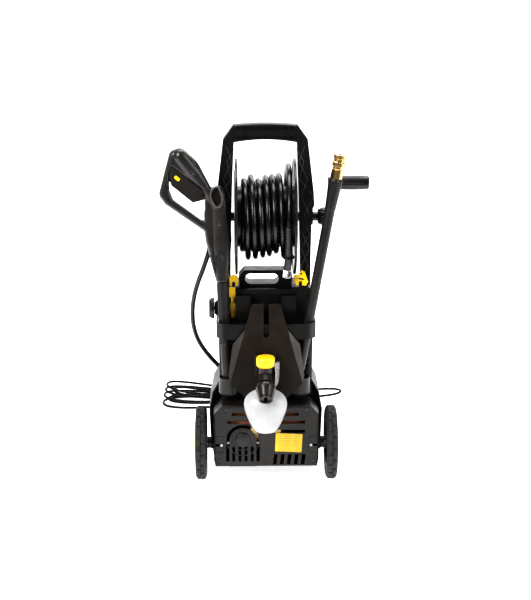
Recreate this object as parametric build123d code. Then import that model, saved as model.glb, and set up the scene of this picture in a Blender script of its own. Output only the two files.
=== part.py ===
"""Upright electric pressure washer on two wheels, with a hose reel, trigger gun, lance and foam bottle.

Millimetres, +Z up.  The origin is on the floor under the middle of the machine without its mains lead.
-Y is the side with the label, cups and foam bottle; +X is the side with the reel's crank.
Each piece is a solid, or a group of equal solids, written to its own STEP file in parts/.
"""

import os
from math import cos, hypot, pi, radians, sin, tan

from build123d import *

# ---- driving dimensions ---------------------------------------------------------------------
WALL = 3.0  # moulded shell thickness
RUN = 0.05  # radial clearance of a running fit

WHEEL_R, WHEEL_W, WHEEL_X = 90.0, 26.0, 159.0
AXLE_Y, AXLE_R, AXLE_END = -55.0, 6.0, 174.5

COVER_FRONT, SPLIT_Y, BASE_BACK = -88.0, -10.0, 150.0
COVER_BOTTOM, COVER_TOP = 38.0, 194.0
TOWER_BOTTOM, TOWER_BACK = 196.0, 112.0
CROWN_Z, SADDLE_Z, SHOULDER_Z = 505.0, 465.0, 470.0
CROWN_Y, CARRY_SLOT_X, CARRY_SLOT_Z = (22.0, 78.0), -9.0, 484.5

GRILLE_X, GRILLE_Z = -57.0, 105.0
AIR_SLOTS = [(173.0, (-83.0, 79.0)), (153.0, (-95.0, 94.0)), (129.0, (9.0, 94.0))]  # Z and X range
SCREW_PLACES = [(98.0, 183.0), (113.0, 52.0)]
INLET_X, INLET_Z = 25.0, 84.0
GLAND_X, GLAND_Z = 60.0, 75.0

REEL_Y, REEL_Z = 60.0, 632.0
FLANGE_X, FLANGE_R, FLANGE_T = 72.0, 142.0, 4.0
DRUM_R, STUB_R, BUSH_R = 75.0, 11.0, 17.0
HOSE_D, WOUND_R, WOUND_X = 14.0, 104.0, (-66.0, 38.0)

POST_FRONT, POST_BACK, POST_FOOT = 40.0, 85.0, 425.0
GRIP_Z, GRIP_TOP = 818.0, 860.0

CRANK_THROW, CRANK_GRIP_R, CRANK_GRIP_X = 83.0, 17.5, (172.0, 252.0)

MOTOR_Y, SHAFT_R = 51.0, 6.0

GUN_Y, GUN_HALF = -42.0, 20.0
TRIGGER_PIVOT, TRIGGER_TRAVEL = (-146.0, 704.0), 7.0  # X, Z and degrees
GUN_FOOT, GUN_NECK = (-94.0, -42.0, 213.5), (-104.0, -42.0, 492.4)
LOCK_AT = (-208.0, 744.0)  # X and Z
LANCE_FOOT, LANCE_TOP = (72.0, -42.0, 214.5), (173.0, -60.0, 800.0)
LANCE_AXIS = tuple(b - a for a, b in zip(LANCE_FOOT, LANCE_TOP))
LANCE_LENGTH, COUPLER_DEPTH = hypot(*LANCE_AXIS), 18.0

PLATE_TOP, PLATE_LEAN = (0.0, -75.0, 445.0), 10.5  # top edge, lean in degrees
FOAM_X, FOAM_Y, SPIGOT_R = -3.0, -143.0, 11.0
NOZZLE_ROOT, NOZZLE_TIP = (-3.0, -148.0, 291.0), (-3.0, -200.0, 247.0)
BOTTLE_NECK, BOTTLE_LEAN = (-139.0, 262.0), 0.2  # Y and Z of the neck; Y gained per mm below it
BOTTLE = [
    (154, 14, 9), (157, 23, 14), (167, 32, 18.5), (187, 42, 24.5), (206, 49, 28), (222, 51, 28),
    (237, 46, 23), (248, 34, 15), (256, 18, 12),
]  # height, half width and half depth of each section

KNOB_Y, KNOB_Z, KNOB_R, KNOB_SHAFT_R = 30.0, 409.0, 26.5, 4.0
LATCH_Y, LATCH_Z, LATCH_LUGS = -1.0, 478.0, (84.0, -78.0)
CUP_X = (-90.0, 82.0)

FEED_D, LEAD_D = 12.0, 7.0
FEED_ROUTE = [
    (-134.0, 60.0, 588.0), (-134.0, 61.0, 560.0), (-150.0, 68.0, 508.0), (-176.0, 88.0, 440.0),
    (-186.0, 116.0, 366.0), (-176.0, 144.0, 300.0), (-146.0, 166.0, 246.0), (-112.0, 174.0, 208.0),
    (-100.0, 172.0, 180.0),
]
LEAD_ROUTE = [
    (60.0, 184.0, 75.0), (60.0, 208.0, 75.0), (62.0, 248.0, 59.0), (70.0, 292.0, 26.0),
    (84.0, 336.0, 5.5), (98.0, 384.0, 3.6), (92.0, 432.0, 4.2), (64.0, 468.0, 6.5),
]
HANK_TOP = 34.0
TAIL_TURN = [
    (-48, 104, 47), (-22, 118, 50), (14, 128, 53), (52, 131, 55), (90, 130, 56), (128, 127, 56),
    (164, 126, 56),
]  # angle about the reel, radius and X of the reel hose's last stretch
BOOT_TOP = (55.0, -54.0, 626.0)
BOOT_FOOT, FERRULE_FOOT, NUT_FOOT = (54.5, -38.0, 559.0), (52.0, -27.0, 520.0), (50.5, -20.5, 500.0)

# outlines as (X, Z, corner radius)
GUN_OUTLINE = [
    (-253, 702, 20), (-225, 806, 18), (-198, 816, 14), (-161, 782, 60), (-129, 720, 5), (-108, 728, 10),
    (-97, 712, 16), (-81, 600, 90), (-90, 493, 2), (-119, 493, 2), (-143, 590, 60), (-146, 616, 12),
    (-238, 681, 16),
]
GUN_WINDOW = [
    (-229.6, 755, 6), (-221.6, 774.6, 3), (-149, 718, 3), (-144, 700, 3), (-144, 641, 5), (-155, 643, 4),
    (-219, 691, 10), (-227, 712, 10),
]
TRIGGER_OUTLINE = [
    (-228, 754, 5), (-221, 773, 3), (-152, 717, 3), (-140, 708, 3), (-142, 694, 3), (-172, 686, 6),
    (-222, 727, 8),
]


# ---- helpers --------------------------------------------------------------------------------
def polygon(points):
    """Closed flat outline."""
    return Polygon(*points, align=None)


def both_sides(half):
    """Outline symmetric about X = 0, from its right half listed from bottom to top."""
    return polygon(half + [(-x, z) for x, z in reversed(half)])


def soft_outline(corners):
    """Outline whose corners are (x, z, radius)."""
    points = [(x, z) for x, z, _ in corners]
    radii = [r for _, _, r in corners]
    return make_face(FilletPolyline(*points, radius=radii, close=True))


def along_y(sketch, y0, y1):
    """Sketch in X and Z, drawn out from y0 to y1."""
    return extrude(Plane.XZ.offset(-y0) * sketch, amount=y1 - y0, dir=(0, 1, 0))


def along_x(sketch, x0, x1):
    """Sketch in Y and Z, drawn out from x0 to x1."""
    return extrude(Plane.YZ.offset(x0) * sketch, amount=x1 - x0, dir=(1, 0, 0))


def along_z(sketch, z0, z1):
    """Sketch in X and Y, drawn out from z0 to z1."""
    return extrude(Plane.XY.offset(z0) * sketch, amount=z1 - z0, dir=(0, 0, 1))


def block(x, y, z):
    """Box between two limits on each axis."""
    size = [hi - lo for lo, hi in (x, y, z)]
    middle = [(hi + lo) / 2 for lo, hi in (x, y, z)]
    return Pos(*middle) * Box(*size)


def rod(start, end, radius):
    """Round bar between two points."""
    line = Vector(*end) - Vector(*start)
    base = Align.MIN
    return Plane(origin=start, z_dir=line) * Cylinder(
        radius, line.length, align=(Align.CENTER, Align.CENTER, base)
    )


def turned(profile, origin=(0, 0, 0), direction=(0, 0, 1)):
    """Solid of revolution from (radius, height) points, about the axis through origin."""
    solid = revolve(Plane.XZ * polygon(profile), axis=Axis.Z)
    return Plane(origin=origin, z_dir=direction) * solid


def pipe_run(points, radius):
    """Stiff pipe of straight legs with ball corners."""
    legs = [rod(a, b, radius) for a, b in zip(points, points[1:])]
    corners = [Pos(*p) * Sphere(radius) for p in points[1:-1]]
    return fuse(legs + corners)


def fuse(shapes):
    """Union of several overlapping shapes."""
    total = shapes[0]
    for shape in shapes[1:]:
        total = total + shape
    return total


def group(shapes):
    """Separate solids kept in one node."""
    return Compound(children=[part for shape in shapes for part in shape.solids()])


def cord_tube(name, route, diameter):
    """Cord along a route of straight runs and tangent arcs, as large as the runs allow."""
    points = [Vector(*p) for p in route]
    radii = []
    for before, here, after in zip(points, points[1:], points[2:]):
        turn = radians((here - before).get_angle(after - here))
        shorter = min((here - before).length, (after - here).length)
        radii.append(0.45 * shorter / tan(turn / 2))
    path = FilletPolyline(*points, radius=radii)
    section = Plane(origin=points[0], z_dir=points[1] - points[0]) * Circle(diameter / 2)
    tube = sweep(section, path=path)
    expected = pi * diameter**2 / 4 * path.length
    print(name, "length", round(path.length), "radii", [round(r) for r in radii])
    print(name, "volume", round(tube.volume), "expected", round(expected))
    return tube


# ---- lower housing --------------------------------------------------------------------------
def cover_outline():
    return both_sides([(124, COVER_BOTTOM), (128, 56), (128, 170), (108, COVER_TOP)])


def arch(radius, foot):
    """Round-headed window of the intake grille."""
    head = Pos(GRILLE_X, GRILLE_Z) * Circle(radius)
    legs = Pos(GRILLE_X, (GRILLE_Z + foot) / 2) * Rectangle(2 * radius, GRILLE_Z - foot)
    return head + legs


def lower_front_cover():
    """Front cover with air slots, round intake grille, slanted vents and axle bosses."""
    outline = cover_outline()
    body = along_y(outline, COVER_FRONT, SPLIT_Y)
    body = fillet(body.faces().sort_by(Axis.Y)[0].edges(), 5)
    body -= along_y(offset(outline, -WALL), COVER_FRONT + WALL, SPLIT_Y + 1)
    through = (COVER_FRONT - 1, COVER_FRONT + WALL + 1)
    body -= along_y(arch(41, 52), *through)
    face_y = (COVER_FRONT, COVER_FRONT + WALL)
    grille = along_y(arch(33, COVER_BOTTOM + 1), *face_y)
    openings = []
    for x in (-22.5, -7.5, 7.5, 22.5):
        openings.append(block((GRILLE_X + x - 3.5, GRILLE_X + x + 3.5), through, (50, 90)))
    body += grille - openings
    body += rod((GRILLE_X, COVER_FRONT - 4, 108), (GRILLE_X, COVER_FRONT + 1, 108), 18)
    cuts = [block(x, through, (z - 4, z + 4)) for z, x in AIR_SLOTS]
    for i in range(5):
        x = 16 + 17 * i
        cuts.append(along_y(polygon([(x, 44), (x + 9, 44), (x + 12, 70), (x + 3, 70)]), *through))
    for side in (-1, 1):
        cuts.append(rod((side * 120, AXLE_Y, WHEEL_R), (side * 150, AXLE_Y, WHEEL_R), AXLE_R + 0.1))
        cuts.append(block(sorted((side * 113, side * 124)), through, (91, 97)))
        cuts += [rod((x * side, COVER_FRONT - 1, z), (x * side, COVER_FRONT + 1.4, z), 5.5)
                 for x, z in SCREW_PLACES]
        for z in (76, 117):
            cuts.append(block(sorted((side * 104, side * 129)), (COVER_FRONT - 1, COVER_FRONT + 1),
                              (z - 0.8, z + 0.8)))
        cuts.append(block(sorted((side * 103.2, side * 104.8)), (COVER_FRONT - 1, COVER_FRONT + 1),
                          (75.2, 117.8)))
    bosses = []
    for side in (-1, 1):
        boss = turned([(AXLE_R + 0.1, 0), (19, 0), (14, 8), (14, 17), (AXLE_R + 0.1, 17)],
                      (side * 127, AXLE_Y, WHEEL_R), (side, 0, 0))
        bosses.append(boss)
    return fuse([body - cuts] + bosses)


def base_outline():
    return both_sides([(130, 40), (137, 84), (140, 160), (132, 204), (113, 238)])


def base_rear_shell():
    """Rear half of the lower housing, wider than the cover, around the pump."""
    body = along_y(base_outline(), SPLIT_Y, BASE_BACK)
    body = fillet(body.faces().sort_by(Axis.Y)[-1].edges(), 10)
    body -= along_y(offset(base_outline(), -WALL), SPLIT_Y - 1, BASE_BACK - WALL)
    body -= tower_block(0)
    for x, z, radius in ((INLET_X, INLET_Z, 9.2), (GLAND_X, GLAND_Z, 8.2), (-100, 160, 7.2)):
        body -= rod((x, BASE_BACK - 20, z), (x, BASE_BACK + 5, z), radius)
    vents = [block((-40, 40), (BASE_BACK - 6, BASE_BACK + 1), (z, z + 5)) for z in range(110, 200, 14)]
    return body - vents


# ---- tower ----------------------------------------------------------------------------------
def tower_block(inset):
    """Envelope of the tower, moved inwards by the inset."""
    front = polygon([
        (-113, TOWER_BOTTOM), (113, TOWER_BOTTOM), (117, 420), (111, 463), (104, SHOULDER_Z),
        (64, SHOULDER_Z), (64, SADDLE_Z), (-64, SADDLE_Z), (-64, SHOULDER_Z), (-104, SHOULDER_Z),
        (-111, 463), (-117, 420),
    ])
    side = polygon([
        (SPLIT_Y, TOWER_BOTTOM), (TOWER_BACK, TOWER_BOTTOM), (TOWER_BACK, 452), (96, SHOULDER_Z),
        (-6, SHOULDER_Z), (SPLIT_Y, 455),
    ])
    if inset:
        front, side = offset(front, -inset), offset(side, -inset)
    depth = TOWER_BACK - SPLIT_Y - 2 * inset
    plan = Pos(0, (SPLIT_Y + TOWER_BACK) / 2) * RectangleRounded(234 - 2 * inset, depth, 14 - inset)
    across = along_y(front, SPLIT_Y - 2, TOWER_BACK + 2) & along_x(side, -125, 125)
    return across & along_z(plan, TOWER_BOTTOM - 2, SHOULDER_Z + 2)


def nozzle_pocket(side):
    """Open-topped pocket for a spare nozzle on the tower's front."""
    x = sorted((side * 37, side * 73))
    outer = block(x, (-34, SPLIT_Y + 1), (396, 455))
    inner = block((x[0] + 3, x[1] - 3), (-31, SPLIT_Y - 2), (402, 460))
    return outer - inner


def tower_shell():
    """Tall motor housing with vents, nozzle pockets, knob cone and latch lugs."""
    body = tower_block(0)
    inner = tower_block(WALL)
    body -= inner
    body -= block((-108, 108), (SPLIT_Y + WALL, TOWER_BACK - WALL), (TOWER_BOTTOM - 5, TOWER_BOTTOM + 5))
    body -= [post_block(side, 0.0) for side in (-1, 1)]
    cuts = []
    for side in (-1, 1):
        for i in range(5):
            z = 268 + 14 * i
            cuts.append(block(sorted((side * 84, side * 104)), (SPLIT_Y - 1, SPLIT_Y + 4), (z, z + 7)))
            cuts.append(block(sorted((side * 108, side * 122)), (50, 96), (z, z + 6)))
    body -= cuts
    knob_cone = turned([(KNOB_SHAFT_R + RUN, 0), (23, 0), (15, 10), (KNOB_SHAFT_R + RUN, 10)],
                       (-115, KNOB_Y, KNOB_Z), (-1, 0, 0))
    body -= rod((-100, KNOB_Y, KNOB_Z), (-130, KNOB_Y, KNOB_Z), KNOB_SHAFT_R + RUN)
    parts = [body, knob_cone] + [nozzle_pocket(side) for side in (-1, 1)]
    for x in LATCH_LUGS:
        lug = block((x - 3, x + 3), (LATCH_Y - 4, LATCH_Y + 4), (SHOULDER_Z - 2, LATCH_Z + 4))
        parts.append(lug - rod((x - 4, LATCH_Y, LATCH_Z), (x + 4, LATCH_Y, LATCH_Z), 2))
    return fuse(parts)


def crown_brace():
    """Carry bridge across the tower's saddle, under the reel, with a hand slot."""
    outline = polygon([(-64, SADDLE_Z), (64, SADDLE_Z), (64, 474), (66, 489), (52, CROWN_Z), (-52, CROWN_Z),
                       (-66, 489), (-64, 474)])
    body = along_y(outline, *CROWN_Y)
    top = body.edges().filter_by(Axis.X).group_by(Axis.Z)[-1]
    body = fillet(top, 4)
    slot = Pos(CARRY_SLOT_X, CARRY_SLOT_Z) * SlotOverall(82, 26)
    return fuse([body - along_y(slot, CROWN_Y[0] - 5, CROWN_Y[1] + 5), hose_hook()])


def post_block(side, inset):
    """Envelope of one frame post."""
    right = [
        (86, POST_FOOT), (110, POST_FOOT), (111, 548), (113, 640), (119, 665), (117, 698),
        (102, 822), (76, 858), (76, 816), (81, 700), (85, 548),
    ]
    outline = polygon([(side * x, z) for x, z in right])
    if inset:
        outline = offset(outline, -inset)
    return along_y(outline, POST_FRONT + inset, POST_BACK + (5 if inset else 0))


def frame_post(side):
    """Moulded post: a channel open at the back, crossed by diagonal ribs."""
    outer = post_block(side, 0)
    pocket = post_block(side, 4)
    ribs, lines = [], []
    for i in range(9):
        z = 470 + 42 * i
        for lean in (-1, 1):
            rib = Pos(side * 99, (POST_FRONT + POST_BACK) / 2, z) * (
                Rot(0, lean * 45, 0) * Box(70, POST_BACK - POST_FRONT, 2.4)
            )
            ribs.append(rib)
            lines.append(Pos(side * 99, POST_FRONT, z) * (Rot(0, lean * 45, 0) * Box(60, 1.2, 1.1)))
    web = fuse([outer & rib for rib in ribs])
    boss = outer & block(sorted((side * 70, side * 120)), (POST_FRONT, POST_BACK), (REEL_Z - 26, REEL_Z + 26))
    shaped = fuse([outer - pocket, web, boss])
    axle = rod((side * 70, REEL_Y, REEL_Z), (side * 125, REEL_Y, REEL_Z), BUSH_R)
    plate = block(sorted((side * 86, side * 110)), (POST_FRONT - 1, POST_FRONT + 2), (596, 631))
    seat = block(sorted((side * 113, side * 125)), (POST_FRONT - 1, POST_BACK + 1), (REEL_Z - 24, REEL_Z + 24))
    return shaped - axle - plate - seat - lines


def handle_grip():
    """Top handle, slightly arched, with rows of ribbed cells round a smooth band."""
    lower = ThreePointArc((-76, GRIP_Z - 3), (0, GRIP_Z + 4), (76, GRIP_Z - 3))
    upper = ThreePointArc((76, GRIP_TOP - 4), (0, GRIP_TOP), (-76, GRIP_TOP - 4))
    sides = Line((76, GRIP_Z - 3), (76, GRIP_TOP - 4)) + Line((-76, GRIP_TOP - 4), (-76, GRIP_Z - 3))
    body = along_y(make_face(lower + upper + sides), POST_FRONT + 2, POST_BACK - 2)
    body = fillet(body.edges().filter_by(GeomType.CIRCLE), 5)
    cells = []
    for i in range(9):
        x = -64 + 16 * i
        for y in (POST_FRONT + 1, POST_BACK - 7):
            cells.append(block((x - 6, x + 6), (y, y + 6), (GRIP_TOP - 15, GRIP_TOP - 6)))
            cells.append(block((x - 6, x + 6), (y, y + 6), (GRIP_Z + 5, GRIP_Z + 12)))
    return body - cells


# ---- front fittings -------------------------------------------------------------------------
def holder_band():
    """Belt that keeps the gun and lance upright in front of the tower."""
    half = [(118.5, 4), (118.5, -54), (104, -73), (66, -77)]
    outside = FilletPolyline(*half, *[(-x, y) for x, y in reversed(half)], radius=14)
    wall = trace(outside, line_width=WALL)
    return along_z(wall, 358, 396)


def accessory_cups():
    """Two cups in front of the tower's foot for the gun's barrel and the lance."""
    cups = []
    for x in CUP_X:
        cup = turned([(0, 209), (20, 209), (25, 216), (25, 255), (22, 255), (22, 212), (0, 212)],
                     (x, GUN_Y, 0))
        neck = block((x - 14, x + 14), (GUN_Y + 20, SPLIT_Y), (216, 250))
        cups.append(cup + (neck - rod((x, GUN_Y, 200), (x, GUN_Y, 260), 23)))
    return group(cups)


def front_plate():
    """A-shaped front plate with bent wings, hook slot, inner webs and foam-head saddle."""
    a = radians(PLATE_LEAN)
    face = Plane(origin=PLATE_TOP, x_dir=(1, 0, 0), z_dir=(0, -cos(a), sin(a)))
    half = [(38, -236), (56, -219), (85, -192), (91, -171), (80.5, -97), (51, -61), (34, 0)]
    local = extrude(both_sides(half), amount=-24)
    crease = Vector(34 - 87, 192, 0).normalized()
    for side in (-1, 1):
        outward = Vector(side * crease.Y, -crease.X, 0)
        slope = radians(24)
        normal = outward * sin(slope) + Vector(0, 0, cos(slope))
        bend = Plane(origin=(side * 34.0, 0, 0), z_dir=normal)
        local = split(local, bisect_by=bend, keep=Keep.BOTTOM)
    local -= Pos(0, 0, -4) * local
    top_lip = block((-34, 34), (-4, 0), (-13, -2))
    local += top_lip
    local -= Pos(0, -30, 0) * Box(13, 86, 40) + Pos(0, -73, 0) * Cylinder(6.5, 40)
    plate = face * local
    webs = []
    for side in (-1, 1):
        web = along_x(polygon([(SPLIT_Y, 236), (SPLIT_Y, 436), (-73, 436), (-108.5, 236)]),
                      *sorted((side * 27, side * 30)))
        web -= block((-40, 40), (-80, -73), (356, 398))
        webs.append(web)
    saddle = block((FOAM_X - 25, FOAM_X + 25), (-123, -97), (284, 334))
    saddle -= rod((FOAM_X, -130, 300), (FOAM_X, -90, 300), SPIGOT_R + 0.8)
    saddle -= block((FOAM_X - SPIGOT_R - 0.8, FOAM_X + SPIGOT_R + 0.8), (-130, -90), (300, 340))
    behind = face * (Pos(0, -110, -34.5) * Box(220, 300, 60))
    return fuse([plate] + webs + [saddle - behind])


def power_knob():
    """Rotary on/off knob with a finger bar."""
    disc = turned([(0, 0), (KNOB_R, 0), (KNOB_R, 7), (KNOB_R - 2, 9), (0, 9)],
                  (-126, KNOB_Y, KNOB_Z), (-1, 0, 0))
    bar = block((-139, -134), (KNOB_Y - 5, KNOB_Y + 5), (KNOB_Z - 22, KNOB_Z + 22))
    shaft = rod((-126.5, KNOB_Y, KNOB_Z), (-109, KNOB_Y, KNOB_Z), KNOB_SHAFT_R)
    return fuse([disc, bar, shaft])


def latch(side):
    """Flip-down latch of the frame, on a pin between its two ears."""
    if side > 0:
        shape = [(67, 488), (67, 499), (78, 500), (86, 512), (94, 508), (103, 484), (98, 474), (74, 476)]
    else:
        shape = [(-66, 486), (-68, 498), (-78, 502), (-88, 496), (-88, 474), (-68, 474)]
    lug_x = LATCH_LUGS[0] if side > 0 else LATCH_LUGS[1]
    plate = along_y(polygon(shape), LATCH_Y - 7, LATCH_Y - 2)
    low, high = (74, 94) if side > 0 else (-88, -68)
    ears = block((low, high), (LATCH_Y - 4.5, LATCH_Y + 4), (LATCH_Z - 4, LATCH_Z + 4))
    body = plate + ears
    body -= block((lug_x - 4, lug_x + 4), (LATCH_Y - 8, LATCH_Y + 6), (LATCH_Z - 9, LATCH_Z + 7))
    body -= rod((-120, LATCH_Y, LATCH_Z), (120, LATCH_Y, LATCH_Z), 2 + RUN)
    if side > 0:
        body -= along_y(Pos(84, 491) * (Rot(0, 0, -14) * SlotOverall(18, 5)), -20, 10)
        body -= rod((86, -20, 503), (86, 10, 503), 2.6)
    return body


def latch_pins():
    """Hinge pins of both latches, fixed in the tower's lugs."""
    pins = []
    for x0, x1 in ((74.5, 93.5), (-87.5, -68.5)):
        pins.append(rod((x0, LATCH_Y, LATCH_Z), (x1, LATCH_Y, LATCH_Z), 2))
    return pins


def nozzle_clip():
    """Spare nozzle with its yellow collar, clipped beside the left pocket."""
    collars = [block((-89, -74), (-22, -12), (449, 472)), block((-86, -74), (-26, -12), (412, 434))]
    stem = rod((-80, -17, 398), (-80, -17, 472), 4.5)
    clip = block((-83, -74), (-16, SPLIT_Y), (400, 408))
    return fuse(collars + [stem, clip])


# ---- running gear ---------------------------------------------------------------------------
def tyre(side):
    """Solid rubber tyre with two staggered rows of tread blocks."""
    half = WHEEL_W / 2
    ring = turned([(62, -half), (83, -half), (88, -half + 3), (WHEEL_R, -half + 6), (WHEEL_R, half - 6),
                   (88, half - 3), (83, half), (62, half)])
    grooves = [turned([(87.5, -0.8), (92, -0.8), (92, 0.8), (87.5, 0.8)])]
    count = 20
    for i in range(count):
        for row in (-1, 1):
            angle = 360 / count * (i + (0.5 if row > 0 else 0))
            grooves.append(Rot(0, 0, angle) * (Pos(WHEEL_R, 0, row * 7.5) * Box(5, 4.5, 12)))
    return Plane(origin=(side * WHEEL_X, AXLE_Y, WHEEL_R), z_dir=(side, 0, 0)) * (ring - grooves)


def rim(side):
    """Dished wheel centre with six windows and a plain-bearing hub."""
    bore = AXLE_R + RUN
    dish = turned([
        (bore, -14), (16, -14), (16, 4), (40, 11), (54, 8), (54, -12), (62, -12), (62, 12),
        (54, 15.5), (40, 16.5), (18, 14), (bore, 14),
    ])
    windows = [Rot(0, 0, 60 * i) * (Pos(37, 0, 0) * Cylinder(10.5, 60)) for i in range(6)]
    return Plane(origin=(side * WHEEL_X, AXLE_Y, WHEEL_R), z_dir=(side, 0, 0)) * (dish - windows)


def wheel_axle():
    """Steel rod through both cover bosses, with a press-on cap at each end."""
    shapes = [rod((-AXLE_END, AXLE_Y, WHEEL_R), (AXLE_END, AXLE_Y, WHEEL_R), AXLE_R)]
    for side in (-1, 1):
        cap = turned([(0, 0), (11, 0), (10, 2.5), (6, 4), (0, 4)],
                     (side * (AXLE_END - 0.8), AXLE_Y, WHEEL_R), (side, 0, 0))
        shapes.append(cap)
    return fuse(shapes)


def rubber_feet():
    """Two feet under the back of the base."""
    return group([turned([(0, 0), (17, 0), (19, 4), (14, 40), (0, 40)], (x, 122, 0)) for x in (-96, 96)])


def fasteners():
    """Cover screws in their recesses and the bright axle-lock pins."""
    shapes = []
    for side in (-1, 1):
        for x, z in SCREW_PLACES:
            head = rod((side * x, COVER_FRONT + 0.4, z), (side * x, COVER_FRONT + 1.4, z), 4)
            shapes.append(head)
        shapes.append(rod((side * 109, COVER_FRONT - 1.5, 94), (side * 109, COVER_FRONT, 94), 3))
        shapes.append(rod((side * 101, POST_FRONT - 3.5, 604), (side * 101, POST_FRONT - 2, 604), 3.5))
    return group(shapes)


# ---- motor and pump -------------------------------------------------------------------------
def at_motor(shape):
    return Pos(0, MOTOR_Y, 0) * shape


def motor_frame():
    """Laminated stack, and the top bearing plate on four pillars over the fan."""
    plan = RectangleRounded(96, 96, 18) - Circle(28)
    plate = turned([(SHAFT_R + RUN, 334), (54, 334), (54, 340), (12, 340), (12, 344), (SHAFT_R + RUN, 344)])
    pillars = [Rot(0, 0, 45 + 90 * i) * (Pos(50, 0, 302.5) * Cylinder(3.5, 65)) for i in range(4)]
    return at_motor(fuse([along_z(plan, 190, 270), plate] + pillars))


def motor_windings():
    """Copper end turns above and below the stack."""
    rings = [turned([(30, z), (43, z), (46, z + 8), (43, z + 17), (30, z + 17)]) for z in (172.5, 270.5)]
    return group([at_motor(ring) for ring in rings])


def motor_rotor():
    """Armature, commutator and shaft."""
    profile = [
        (0, 128), (SHAFT_R, 128), (SHAFT_R, 186), (26, 186), (26, 274), (SHAFT_R, 274), (SHAFT_R, 294),
        (15, 294), (15, 308), (SHAFT_R, 308), (SHAFT_R, 344), (0, 344),
    ]
    return at_motor(turned(profile))


def motor_fan():
    """Cooling fan pressed on the shaft."""
    hub = turned([(SHAFT_R, 313), (14, 313), (14, 316), (46, 316), (46, 318), (14, 318), (14, 330),
                  (SHAFT_R, 330)])
    blades = [Rot(0, 0, 40 * i) * (Pos(29, 0, 322) * Box(32, 1.6, 10)) for i in range(9)]
    return at_motor(fuse([hub] + blades))


def wobble_plate():
    """Slanted disc that drives the pistons."""
    disc = turned([(SHAFT_R, 130), (32, 130), (32, 150), (SHAFT_R, 150)])
    wedge = Pos(0, 0, 124) * (Rot(0, 8, 0) * Box(90, 90, 20))
    return at_motor(disc - wedge)


def pump_body():
    """Cast gearcase between motor and pump head, with the lower shaft bearing."""
    profile = [
        (SHAFT_R + RUN, 153), (38, 153), (38, 108), (46, 108), (46, 164), (40, 172), (14, 172),
        (SHAFT_R + RUN, 172),
    ]
    lugs = [Rot(0, 0, 90 * i + 45) * (Pos(48, 0, 114) * Cylinder(6, 12)) for i in range(4)]
    bores = turned([(0, 170), (SHAFT_R + RUN, 170), (SHAFT_R + RUN, 175), (0, 175)])
    return at_motor(fuse([turned(profile)] + lugs) - bores)


def pump_head():
    """Brass head with three cylinders."""
    block_ = along_z(RectangleRounded(92, 84, 12), 58, 108)
    head = at_motor(block_)
    cylinders = [at_motor(Rot(0, 0, 120 * i) * (Pos(22, 0, 92) * Cylinder(7.0 + RUN, 34))) for i in range(3)]
    ports = [rod((INLET_X, 84, INLET_Z), (INLET_X, 94, INLET_Z), 6), rod((-30, 84, 88), (-30, 94, 88), 6.5)]
    return head - cylinders - ports


def pump_pistons():
    """Three steel plungers under the wobble plate, each in its return spring's sleeve."""
    piston = turned([(0, 80), (7, 80), (7, 122), (9.5, 122), (9.5, 125), (0, 125)])
    sleeve = turned([(7.6, 109), (9.4, 109), (9.4, 121.5), (7.6, 121.5)])
    places = [Rot(0, 0, 120 * i) * Pos(22, 0, 0) for i in range(3)]
    return group([at_motor(place * shape) for place in places for shape in (piston, sleeve)])


def water_inlet():
    """Garden-hose nipple at the back, on a stub into the pump head."""
    stub = rod((INLET_X, 84, INLET_Z), (INLET_X, 140, INLET_Z), 6)
    nipple = turned([(0, 0), (12, 0), (12, 10), (15, 12), (15, 16), (9, 18), (8.5, 20), (8.5, 28), (7.2, 30),
                     (7.2, 32), (8.5, 34), (8.5, 38), (5, 38), (5, 8), (0, 8)],
                    (INLET_X, 139, INLET_Z), (0, 1, 0))
    collar = rod((INLET_X, 144, INLET_Z), (INLET_X, 151, INLET_Z), 9)
    nipple -= turned([(9.0, 8), (16, 8), (16, 11.2), (9.0, 11.2)], (INLET_X, 139, INLET_Z), (0, 1, 0))
    return fuse([stub, nipple, collar]) - rod((INLET_X, 147, INLET_Z), (INLET_X, 180, INLET_Z), 5)


def outlet_elbow():
    """Pressure outlet: pipe from the pump head to an upturned elbow at the back."""
    pipe = pipe_run([(-30, 84, 88), (-30, 120, 88), (-100, 120, 160), (-100, 172, 160), (-100, 172, 176)], 6.5)
    nut = turned([(0, 0), (12, 0), (12, 12), (0, 12)], (-100, 172, 168))
    ferrule = turned([(FEED_D / 2, 0), (9.5, 0), (9.5, 18), (8, 21), (FEED_D / 2, 21)], (-100, 172, 180))
    return group([pipe + nut, ferrule])


def switch_box():
    """Switch housing behind the knob, and the motor's capacitor beside it."""
    box_ = block((-106, -82), (12, 38), (388, 430))
    capacitor = rod((-70, 92, 260), (-70, 92, 330), 14)
    return group([box_, capacitor])


# ---- reel -----------------------------------------------------------------------------------
def reel_flange(side):
    """Round cheek with a rolled rim, ribs and six openings."""
    cheek = turned([
        (STUB_R, -2), (FLANGE_R - 5, -2), (FLANGE_R - 5, -4), (FLANGE_R - 2, -4.4), (FLANGE_R, -2.4),
        (FLANGE_R, 1.4), (FLANGE_R - 2, 2), (STUB_R, 2),
    ])
    holes = [Rot(0, 0, 60 * i) * (Pos(44, 0, 0) * Cylinder(13, 20)) for i in range(6)]
    ribs = [turned([(r, 1.9), (r + 3, 1.9), (r + 2.4, 3.6), (r + 0.6, 3.6)]) for r in (64, 112)]
    return Plane(origin=(side * FLANGE_X, REEL_Y, REEL_Z), z_dir=(side, 0, 0)) * (fuse([cheek] + ribs) - holes)


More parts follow.
